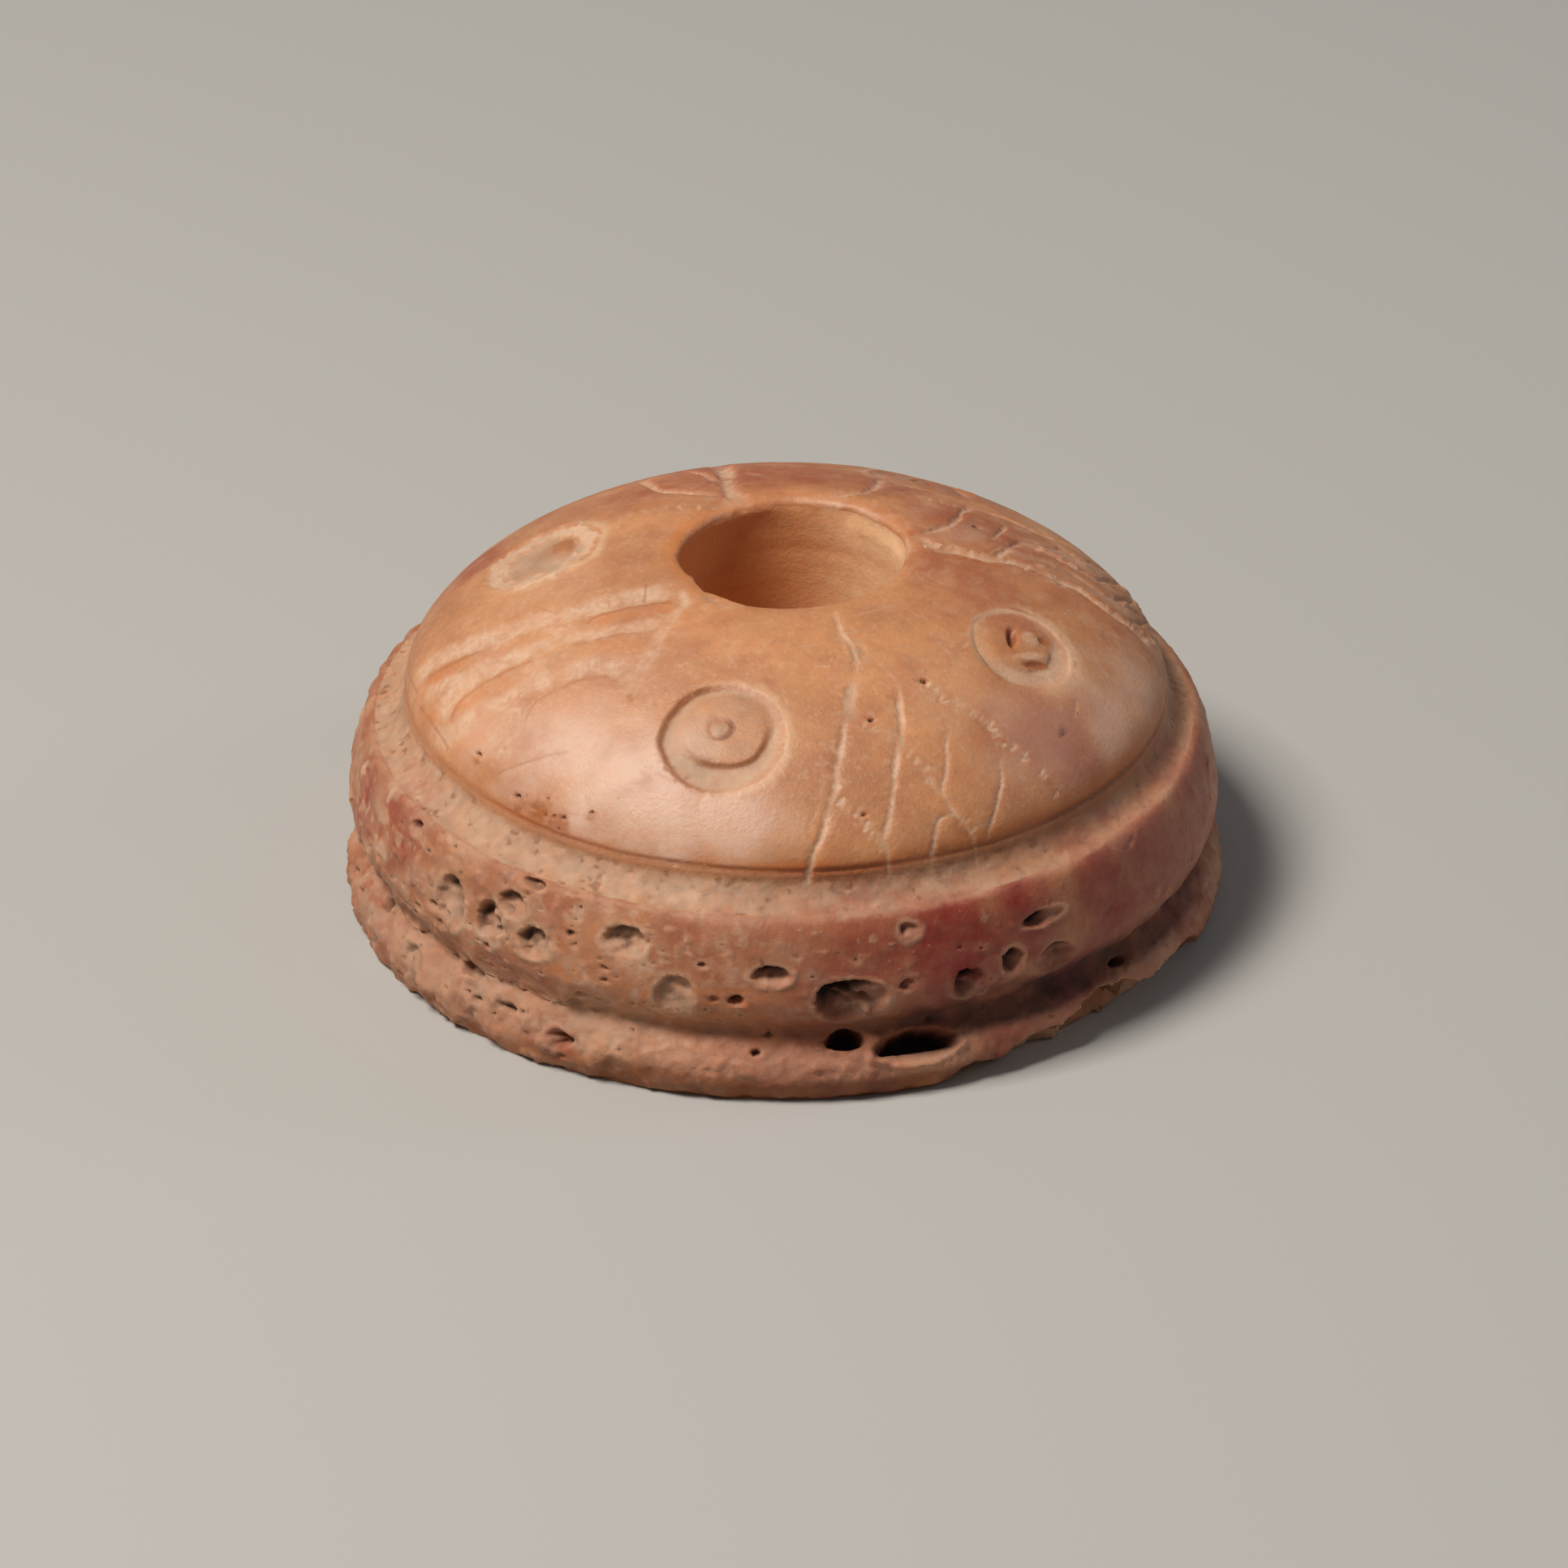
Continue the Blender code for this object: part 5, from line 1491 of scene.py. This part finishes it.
# %% Stains
BLUSHES = [
    # azimuth, radius on the dome or height on the side, zone, size, strength
    (317.0, 12.2, "dome", 2.3, 0.42),
    (321.0, 12.4, "dome", 2.0, 0.42),
    (317.0, 13.3, "dome", 1.3, 0.30),
    (322.0, 13.2, "dome", 1.2, 0.40),
    (330.0, 12.0, "dome", 1.2, 0.25),
    (20.0, 7.5, "dome", 3.8, 0.42),
    (345.0, 7.0, "dome", 2.8, 0.40),
    (5.0, 11.0, "dome", 3.6, 0.25),
    (110.0, 9.0, "dome", 5.0, 0.55),
    (100.0, 7.0, "dome", 2.4, 0.60),
    (60.0, 11.0, "dome", 4.0, 0.32),
    (85.0, 7.0, "dome", 2.8, 0.50),
    (60.0, 7.4, "dome", 2.2, 0.45),
    (35.0, 6.6, "dome", 1.6, 0.45),
    (350.0, 6.2, "dome", 1.2, 0.30),
    (160.0, 11.8, "dome", 1.8, 0.55),
    (135.0, 12.0, "dome", 2.4, 0.40),
    (330.0, 6.6, "dome", 1.5, 0.25),
    (292.0, 5.4, "side", 3.0, 0.95),
    (297.0, 5.0, "side", 2.0, 0.95),
    (303.0, 5.2, "side", 2.4, 0.90),
    (316.0, 6.0, "side", 2.2, 0.85),
    (283.0, 5.6, "side", 3.4, 0.75),
    (273.0, 5.4, "side", 3.0, 0.45),
    (326.0, 5.2, "side", 3.0, 0.75),
    (340.0, 5.5, "side", 3.2, 0.65),
    (266.0, 6.2, "side", 1.2, 0.45),
    (262.0, 5.2, "side", 2.4, 0.35),
    (207.0, 6.3, "side", 2.0, 0.75),
    (196.0, 5.4, "side", 2.4, 0.80),
    (214.0, 5.6, "side", 1.6, 0.45),
    (230.0, 4.0, "side", 1.4, 0.45),
    (238.0, 3.4, "side", 1.2, 0.45),
    (240.3, 1.4, "side", 0.9, 1.00),
    (237.0, 1.2, "side", 0.8, 0.60),
    (224.0, 1.3, "side", 1.4, 0.55),
    (205.0, 0.9, "side", 2.4, 0.55),
    (255.0, 1.2, "side", 1.2, 0.35),
    (120.0, 4.8, "side", 3.5, 0.55),
    (60.0, 5.2, "side", 3.5, 0.50),
    (20.0, 4.0, "side", 3.0, 0.50),
    (201.0, 1.8, "side", 1.6, 0.50),
    (188.0, 1.9, "side", 1.6, 0.40),
    (228.0, 5.8, "side", 1.2, 0.35),
    (239.5, 6.0, "side", 1.4, 0.38),
    (256.0, 6.1, "side", 1.7, 0.42),
]
# Faded polish that also paints the soft sheen of the lights on the dome's lower left and right
FADES_AND_SHEEN = [
    (247.0, 12.4, "dome", 2.7, 0.78),
    (262.0, 13.0, "dome", 2.0, 0.75),
    (233.0, 12.0, "dome", 2.2, 0.75),
    (222.0, 12.2, "dome", 1.6, 0.45),
    (334.0, 12.4, "dome", 2.2, 0.50),
    (346.0, 12.9, "dome", 1.8, 0.45),
    (317.0, 12.0, "dome", 2.4, 0.40),
    (212.0, 13.0, "dome", 1.4, 0.50),
    (226.0, 13.3, "dome", 1.4, 0.65),
    (239.0, 13.5, "dome", 1.6, 0.85),
    (252.0, 13.6, "dome", 1.6, 0.85),
]
DIRT = [
    (227.2, 13.65, "dome", 0.55, 0.80),
    (231.2, 13.65, "dome", 0.50, 0.90),
    (235.0, 13.70, "dome", 0.55, 0.80),
    (215.2, 13.45, "dome", 0.32, 0.70),
    (240.0, 13.45, "dome", 0.22, 0.70),
    (224.0, 13.50, "dome", 0.80, 0.45),
    (297.0, 13.60, "dome", 0.60, 0.50),
]
OCHRE = [
    (225.0, 3.2, "side", 1.6, 0.75),
    (240.0, 3.8, "side", 1.8, 0.75),
    (215.0, 3.6, "side", 1.4, 0.55),
    (250.0, 4.6, "side", 1.6, 0.60),
    (233.0, 2.6, "side", 1.5, 0.60),
    (258.0, 3.0, "side", 2.0, 0.50),
    (246.0, 6.2, "side", 1.8, 0.35),
    (268.0, 3.1, "side", 1.8, 0.45),
]
VEILS = [
    (212.0, 10.0, "dome", 3.8, 0.24),
    (228.0, 9.5, "dome", 3.2, 0.20),
    (196.0, 11.0, "dome", 3.0, 0.20),
    (240.0, 11.5, "dome", 2.4, 0.24),
    (186.0, 8.5, "dome", 2.6, 0.25),
    (221.0, 4.6, "side", 3.2, 0.25),
    (305.0, 10.0, "dome", 2.2, 0.20),
]
ASHES = [
    (203.0, 2.2, "side", 1.2, 0.65),
    (213.0, 1.6, "side", 1.5, 0.65),
    (219.5, 1.8, "side", 1.2, 0.75),
    (226.0, 2.2, "side", 1.4, 0.80),
    (232.0, 1.9, "side", 1.2, 0.65),
    (243.0, 2.2, "side", 1.5, 0.75),
    (250.0, 2.1, "side", 1.3, 0.65),
    (257.5, 2.3, "side", 1.3, 0.45),
    (221.0, 4.7, "side", 1.4, 0.80),
    (229.0, 4.8, "side", 1.1, 0.80),
    (232.0, 5.8, "side", 0.9, 0.50),
    (236.5, 4.7, "side", 1.1, 0.80),
    (249.0, 5.7, "side", 1.1, 0.50),
    (255.8, 3.9, "side", 1.2, 0.80),
]


def stain(layer, patches, seed, hidden=0.85):
    """Lay soft patches with wandering edges into a layer; hidden is how much of them dust hides."""
    for number, (azimuth, place, zone, size, strength) in enumerate(patches):
        where = {"radius": place} if zone == "dome" else {"height": place}
        centre = find_spot(azimuth, **where)[0]
        index = around(centre, size * 1.6)
        places = POINTS[index]
        away = np.linalg.norm(places - centre, axis=1) / size
        waver = 0.35 * cloud(places, size * 0.45, seed + number)
        away += waver + 0.12 * cloud(places, 0.6, seed + 60 + number)
        coat(layer, index, strength * ease(away, 1.25, 0.25) * (1.0 - hidden * dust[index]))


stain(blush, BLUSHES, 1000)
stain(fade_and_sheen, FADES_AND_SHEEN, 1200)
stain(dust, VEILS, 1300)
stain(soil, DIRT, 1350)
stain(amber, OCHRE, 1380)
ash_patches = np.zeros(len(POINTS))
stain(ash_patches, ASHES, 1500, hidden=0.2)
coat(ash, EVERYWHERE, ash_patches)
soil[ON_BAND] *= (1.0 - 0.6 * amber[ON_BAND]) * (1.0 - 0.7 * blush[ON_BAND])
ash[ON_BAND] *= 1.0 - 0.4 * amber[ON_BAND]
soil[:] *= 1.0 - 0.8 * ash_patches
blush[:] *= 1.0 - 0.7 * ash_patches
fade_and_sheen[~ON_DOME] = 0.0
print(f"blushes: {len(BLUSHES)}, faded places: {len(FADES_AND_SHEEN)}, veils of dust: {len(VEILS)}")
print(f"spots of dirt: {len(DIRT)}, ochre patches: {len(OCHRE)}, ashy patches: {len(ASHES)}")

# %% [markdown]
# ## Breaks
#
# The flange is chipped from below along one stretch, and nicked on the left. A chip can't be
# made by sinking points along their normals, because it takes a whole corner away. So every
# point inside a rough egg shape is pressed inwards and upwards until it lies on the egg's
# surface, and what is left of the flange is a thin ragged edge.

# %% Carve, then break the flange
BREAKS = [
    # azimuth, radius, height, half sizes along, out and up
    (297.0, 16.50, -0.20, 2.4, 1.70, 1.15),
    (306.0, 16.50, 0.10, 2.5, 1.80, 1.30),
    (315.0, 16.40, 0.50, 2.6, 1.95, 1.35),
    (324.5, 16.50, 0.10, 2.4, 1.80, 1.25),
    (332.5, 16.50, 0.15, 2.3, 1.70, 1.20),
    (340.0, 16.60, -0.35, 2.0, 1.50, 0.95),
    (173.0, 16.55, 1.10, 2.2, 0.85, 0.90),
    (92.0, 16.50, 0.10, 1.8, 1.20, 0.90),
]
RIM_CHIPS = [
    # the same columns, for the chips in the hole's rim
    (238.0, 4.30, 13.72, 1.05, 0.50, 0.34),
    (15.0, 4.25, 13.68, 0.60, 0.40, 0.30),
    (120.0, 4.20, 13.66, 0.80, 0.50, 0.34),
]
FOOT_WANDER = [
    (0, -0.08), (90, 0.0), (165, 0.0), (195, 0.12), (210, 0.20), (222, 0.14),
    (236, 0.03), (262, 0.0), (300, -0.05),
]
moved = POINTS - NORMALS * carved[:, None] + shifted
foot_share = ease(HEIGHTS, 7.1, 8.0) * ease(HEIGHTS, 10.2, 8.6) * (FROM_AXIS > 11.0)
foot_step = foot_share * by_azimuth(FOOT_WANDER)
moved -= POINTS * (1.0, 1.0, 0.0) / FROM_AXIS[:, None] * foot_step[:, None]
moved[:, 0] += BORE_OFFSET * ease(FROM_AXIS, 6.5, BORE_RADIUS + 0.1)


def break_off(azimuth, radius, height, half_sizes, inwards, rise, seed):
    """Press the points inside a rough egg shape along one direction onto its far surface."""
    turn = math.radians(azimuth)
    out = np.array((math.cos(turn), math.sin(turn), 0.0))
    along = np.array((-math.sin(turn), math.cos(turn), 0.0))
    up = np.array((0.0, 0.0, 1.0))
    axes = np.column_stack([along, out, up]) / np.array(half_sizes)
    centre = out * radius + up * height
    near = np.flatnonzero(np.linalg.norm(moved - centre, axis=1) < max(half_sizes) * 1.4)
    swell = 1.0 + 0.16 * rough_cloud(moved[near], 0.9, seed) + 0.05 * cloud(moved[near], 0.2, seed + 7)
    place = (moved[near] - centre) @ axes / swell[:, None]
    way = (inwards * out + rise * up) / math.hypot(inwards, rise)
    step = (way @ axes)[None, :] / swell[:, None]
    inside = (place**2).sum(axis=1) < 1.0
    near, place, step = near[inside], place[inside], step[inside]
    along_step = (place * step).sum(axis=1)
    step_size = (step**2).sum(axis=1)
    travel = (np.sqrt(along_step**2 - step_size * ((place**2).sum(axis=1) - 1.0)) - along_step) / step_size
    moved[near] += way * travel[:, None]
    coat(dust, near, 0.30 + 0.45 * cloud(moved[near], 0.6, seed + 8))
    soil[near] = 0.25 + 0.3 * cloud(moved[near], 0.9, seed + 9)
    blush[near] *= 0.3
    gloss[near] *= 0.3


for number, (azimuth, radius, height, *half_sizes) in enumerate(BREAKS):
    break_off(azimuth, radius, height, half_sizes, -1.0, 0.85, 1400 + 10 * number)
for number, (azimuth, radius, height, *half_sizes) in enumerate(RIM_CHIPS):
    break_off(azimuth, radius, height, half_sizes, 0.35, -1.0, 1500 + 10 * number)
moved[:, 2] = np.maximum(moved[:, 2], 0.0)
print(f"breaks: {len(BREAKS)} in the flange, {len(RIM_CHIPS)} at the hole's rim")

# %% [markdown]
# ## Thin the mesh
#
# The carved mesh has far more points than smooth stretches need. The points and their layers
# are written back, and a Decimate modifier keeps the triangles where the relief is. It blends
# the layers as it merges points, so they still fit. A vertex group tells it where the colour
# is fine and shouldn't be thinned much, and the mesh turns to metres only afterwards, because
# Decimate judges flatness better in large numbers.

# %% Write the carved mesh and thin it
MOST_TRIANGLES = 192000
COLOUR_WEIGHT = 0.004
LAYERS = {
    "dust": dust,
    "ash": ash,
    "soil": soil,
    "amber": amber,
    "fresh_and_lit": fresh_and_lit,
    "shade_and_grime": shade_and_grime,
    "blush": blush,
    "fade_and_sheen": fade_and_sheen,
    "gloss": gloss,
}


def mark_fine_colour(mesh):
    """A vertex group that is 1 on plain stretches, and less where dust, soil or ash change quickly."""
    ends = np.empty(len(mesh.edges) * 2, np.int64)
    mesh.edges.foreach_get("vertices", ends)
    start, end = ends.reshape(-1, 2).T
    change = np.zeros(len(mesh.vertices))
    for layer in (dust, soil, ash, shade_and_grime):
        step = np.abs(layer[start] - layer[end])
        np.maximum.at(change, start, step)
        np.maximum.at(change, end, step)
    plain = 1.0 - ease(change, 0.02, 0.25) * ~(ON_FLAT | IN_BORE)
    group = whorl.vertex_groups.new(name="plain")
    for level in range(1, 11):
        chosen = np.flatnonzero((plain > (level - 1) / 10) & (plain <= level / 10))
        group.add(chosen.tolist(), level / 10, "REPLACE")
    return group


def write_whorl():
    """Write places and layers to the mesh, and thin it to the number of triangles allowed."""
    mesh = whorl.data
    mesh.vertices.foreach_set("co", moved.astype(np.float32).ravel())
    for name, values in LAYERS.items():
        layer = mesh.attributes.new(name, "FLOAT", "POINT")
        layer.data.foreach_set("value", np.clip(values, 0.0, 1.0).astype(np.float32))
    mesh.update()
    triangles = 2 * len(mesh.polygons)
    if triangles > MOST_TRIANGLES:
        group = mark_fine_colour(mesh)
        thinning = whorl.modifiers.new("thinning", "DECIMATE")
        thinning.ratio = MOST_TRIANGLES / triangles
        thinning.vertex_group = group.name
        thinning.vertex_group_factor = COLOUR_WEIGHT
        thinned = finished_mesh(whorl)
        whorl.modifiers.remove(thinning)
        whorl.vertex_groups.clear()
        whorl.data = thinned
    whorl.data.transform(Matrix.Scale(MM, 4))
    whorl.data.shade_smooth()


write_whorl()
print(f"carved whorl: {len(whorl.data.polygons)} faces")

# %% [markdown]
# ## The finish
#
# Bone is a dense white mineral in a web of collagen. Age, soil and handling turn it orange-tan,
# and polishing gives it a soft sheen. The colours are sRGB values, which one function turns
# linear, and one function adds a node with its settings and links.

# %% Colour and node helpers
def linear(hex_colour):
    """An sRGB hex colour as a linear colour with full alpha."""
    values = [int(hex_colour[place : place + 2], 16) / 255.0 for place in (1, 3, 5)]
    return [v / 12.92 if v <= 0.04045 else ((v + 0.055) / 1.055) ** 2.4 for v in values] + [1.0]


def add_node(material, kind, settings=None, inputs=None):
    """Add a node, set its properties, and set its inputs, by name or number, to values or links."""
    tree = material.node_tree
    node = tree.nodes.new(kind)
    for name, value in (settings or {}).items():
        setattr(node, name, value)
    for name, value in (inputs or {}).items():
        if isinstance(value, bpy.types.NodeSocket):
            tree.links.new(value, node.inputs[name])
        else:
            node.inputs[name].default_value = value
    return node


# %% [markdown]
# The finish is built in layers, as it came to be: the tan of the bone in two tones, the faded
# polish with its painted sheen, the blushes, then the dust and ash, and the soil last, with
# painted light and painted shade among the coats. Every layer is fretted by a fine noise, so
# that it looks settled and not sprayed. One table holds the noises, with their real sizes, one
# the tones of the bone, and one the coats that the carved layers lay on it.

# %% Polished old bone
BONE_TAN = "#cc8d5e"
BONE_DEEP = "#b37850"
BONE_RED = "#a66048"
BONE_SHADE = "#8d6240"
# Pale pink of the faded polish and of the painted sheen
BONE_FADED_SHEEN = "#d9b6a2"
BONE_BLUSH = "#84160f"
BONE_AMBER = "#cf742a"
# Pale fresh bone; the same colour paints light on lit walls and rims
BONE_FRESH_AND_LIT = "#ecc092"
DUST_PALE = "#d3af92"
DUST_ASH = "#9a8069"
OLD_SOIL = "#9c5420"
# Near-black brown of painted shade and of dark grime
SHADE_AND_GRIME_BLACK = "#180a04"
NOISES = {
    # size in mm, detail, roughness
    "mottle": (3.5, 3.0, 0.50),
    "blotch": (1.3, 2.0, 0.50),
    "fleck": (0.42, 3.0, 0.60),
    "speck": (0.22, 2.0, 0.55),
    "grain": (0.13, 3.0, 0.60),
}
TONES = [
    # noise, where it starts and ends, strength, colour
    ("mottle", 0.35, 0.68, 1.00, BONE_DEEP),
    ("blotch", 0.50, 0.70, 0.32, BONE_RED),
    ("fleck", 0.45, 0.75, 0.30, BONE_SHADE),
    ("speck", 0.55, 0.74, 0.28, DUST_PALE),
    ("grain", 0.58, 0.74, 0.28, BONE_SHADE),
]
COATS = [
    # layer, the noise that frets it, share left in the noise's lows, colour
    ("fade_and_sheen", "fleck", 0.65, BONE_FADED_SHEEN),
    ("amber", "fleck", 0.85, BONE_AMBER),
    ("fresh_and_lit", "fleck", 0.75, BONE_FRESH_AND_LIT),
    ("dust", "speck", 0.60, DUST_PALE),
    ("ash", "speck", 0.60, DUST_ASH),
    ("soil", "speck", 0.75, OLD_SOIL),
    ("blush", "fleck", 0.88, BONE_BLUSH),
    ("shade_and_grime", "grain", 0.95, SHADE_AND_GRIME_BLACK),
]


def bone_colour(material, noises):
    """The bone itself: two tans in broad clouds, then red blotches and finer flecks over them."""
    colour = linear(BONE_TAN)
    for name, start, end, strength, tone in TONES:
        inputs = {"Value": noises[name], "From Min": start, "From Max": end, "To Max": strength}
        share = add_node(material, "ShaderNodeMapRange", inputs=inputs).outputs["Result"]
        inputs = {"Factor": share, 6: colour, 7: linear(tone)}
        colour = add_node(material, "ShaderNodeMix", {"data_type": "RGBA"}, inputs).outputs[2]
    return colour


def lay_coats(material, noises, colour):
    """Lay the carved layers over the colour, each with its edge fretted by a fine noise."""
    shares = {}
    for name, noise, low_share, tone in COATS:
        settings = {"attribute_name": name, "attribute_type": "GEOMETRY"}
        amount = add_node(material, "ShaderNodeAttribute", settings).outputs["Fac"]
        inputs = {"Value": noises[noise], "From Min": 0.35, "From Max": 0.60, "To Min": low_share}
        fret = add_node(material, "ShaderNodeMapRange", inputs=inputs).outputs["Result"]
        settings = {"operation": "MULTIPLY", "use_clamp": True}
        share = add_node(material, "ShaderNodeMath", settings, {0: amount, 1: fret}).outputs[0]
        shares[name] = share
        inputs = {"Factor": share, 6: colour, 7: linear(tone)}
        colour = add_node(material, "ShaderNodeMix", {"data_type": "RGBA"}, inputs).outputs[2]
    return colour, shares


def bone_roughness(material, noises, shares):
    """Polished skin shines softly; dust, worn places and holes are dull."""
    settings = {"attribute_name": "gloss", "attribute_type": "GEOMETRY"}
    gloss_amount = add_node(material, "ShaderNodeAttribute", settings).outputs["Fac"]
    inputs = {"Value": gloss_amount, "To Min": 0.85, "To Max": 0.50}
    polish = add_node(material, "ShaderNodeMapRange", inputs=inputs).outputs["Result"]
    inputs = {"Value": noises["fleck"], "From Min": 0.3, "From Max": 0.7, "To Min": -0.03, "To Max": 0.08}
    uneven = add_node(material, "ShaderNodeMapRange", inputs=inputs).outputs["Result"]
    polish = add_node(material, "ShaderNodeMath", {"operation": "ADD"}, {0: polish, 1: uneven}).outputs[0]
    inputs = {"Value": shares["dust"], "From Min": 0.2, "From Max": 0.9, "To Min": 0.3, "To Max": 0.8}
    dusty = add_node(material, "ShaderNodeMapRange", inputs=inputs).outputs["Result"]
    settings = {"operation": "MAXIMUM"}
    dull = add_node(material, "ShaderNodeMath", settings, {0: dusty, 1: shares["shade_and_grime"]}).outputs[0]
    return add_node(material, "ShaderNodeMath", settings, {0: polish, 1: dull}).outputs[0]


def bone_grain(material, noises):
    """Grain too fine for the mesh, a few hundredths of a millimetre high."""
    settings = {"operation": "MULTIPLY_ADD"}
    inputs = {0: noises["speck"], 1: 0.8, 2: noises["grain"]}
    relief = add_node(material, "ShaderNodeMath", settings, inputs).outputs[0]
    inputs = {"Height": relief, "Distance": 0.03 * MM, "Strength": 0.65}
    return add_node(material, "ShaderNodeBump", inputs=inputs).outputs["Normal"]


def polished_bone():
    """Old bone, turned and polished by hand: tan, mottled, softly shining, dusty in its cuts."""
    material = bpy.data.materials.new("polished old bone")
    material.use_nodes = True
    tree = material.node_tree
    shader = tree.nodes["Principled BSDF"]
    places = add_node(material, "ShaderNodeTexCoord").outputs["Object"]
    noises = {}
    for name, (size, detail, roughness) in NOISES.items():
        inputs = {"Vector": places, "Scale": 1.0 / (size * MM), "Detail": detail, "Roughness": roughness}
        noises[name] = add_node(material, "ShaderNodeTexNoise", inputs=inputs).outputs["Fac"]
    colour, shares = lay_coats(material, noises, bone_colour(material, noises))
    tree.links.new(colour, shader.inputs["Base Color"])
    tree.links.new(bone_roughness(material, noises, shares), shader.inputs["Roughness"])
    tree.links.new(bone_grain(material, noises), shader.inputs["Normal"])
    shader.inputs["IOR"].default_value = 1.54
    shader.inputs["Subsurface Weight"].default_value = 0.15
    shader.inputs["Subsurface Radius"].default_value = (1.0, 0.45, 0.22)
    shader.inputs["Subsurface Scale"].default_value = 0.8 * MM
    return material


whorl.data.materials.clear()
whorl.data.materials.append(polished_bone())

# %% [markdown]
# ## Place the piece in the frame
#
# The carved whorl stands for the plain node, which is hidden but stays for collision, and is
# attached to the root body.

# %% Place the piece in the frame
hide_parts("spindle_whorl")
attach(whorl, "root")

# %% [markdown]
# ## Floor and light
#
# A plain pale floor, a large soft light above and to the left, a small low one from the right
# that picks out the far edge, and a dim even room.

# %% Floor and lights
FLOOR_HALF = 0.6


def add_floor():
    """A plain pale sheet for the whorl to lie on."""
    mesh_data = bmesh.new()
    bmesh.ops.create_grid(mesh_data, x_segments=1, y_segments=1, size=FLOOR_HALF)
    mesh = bpy.data.meshes.new("floor")
    mesh_data.to_mesh(mesh)
    mesh_data.free()
    floor = bpy.data.objects.new("floor", mesh)
    bpy.context.scene.collection.objects.link(floor)
    material = bpy.data.materials.new("matt pale board")
    material.use_nodes = True
    shader = material.node_tree.nodes["Principled BSDF"]
    shader.inputs["Base Color"].default_value = linear("#b1afaa")
    shader.inputs["Roughness"].default_value = 0.9
    mesh.materials.append(material)


def add_light(name, azimuth, rise, distance, size, watts, colour):
    """A square soft light that shines on the whorl from an azimuth and a rise, in degrees."""
    data = bpy.data.lights.new(name, "AREA")
    data.size = size
    data.energy = watts
    data.color = linear(colour)[:3]
    light = bpy.data.objects.new(name, data)
    bpy.context.scene.collection.objects.link(light)
    turn, lift = math.radians(azimuth), math.radians(rise)
    away = Vector((math.cos(turn) * math.cos(lift), math.sin(turn) * math.cos(lift), math.sin(lift)))
    light.location = away * distance
    light.rotation_euler = away.to_track_quat("Z", "Y").to_euler()


def light_room():
    """Fill the room with dim, even, nearly white light."""
    world = bpy.data.worlds.new("soft room")
    world.use_nodes = True
    background = world.node_tree.nodes["Background"]
    background.inputs["Color"].default_value = linear("#e3e2e2")
    background.inputs["Strength"].default_value = 0.17
    bpy.context.scene.world = world


add_floor()
light_room()
add_light("large light, above left", 207.0, 60.0, 0.40, 0.14, 1.78, "#fff9f2")
add_light("small light, low right", 12.0, 26.0, 0.40, 0.10, 0.14, "#eef2ff")
bpy.context.scene.view_settings.view_transform = "Standard"
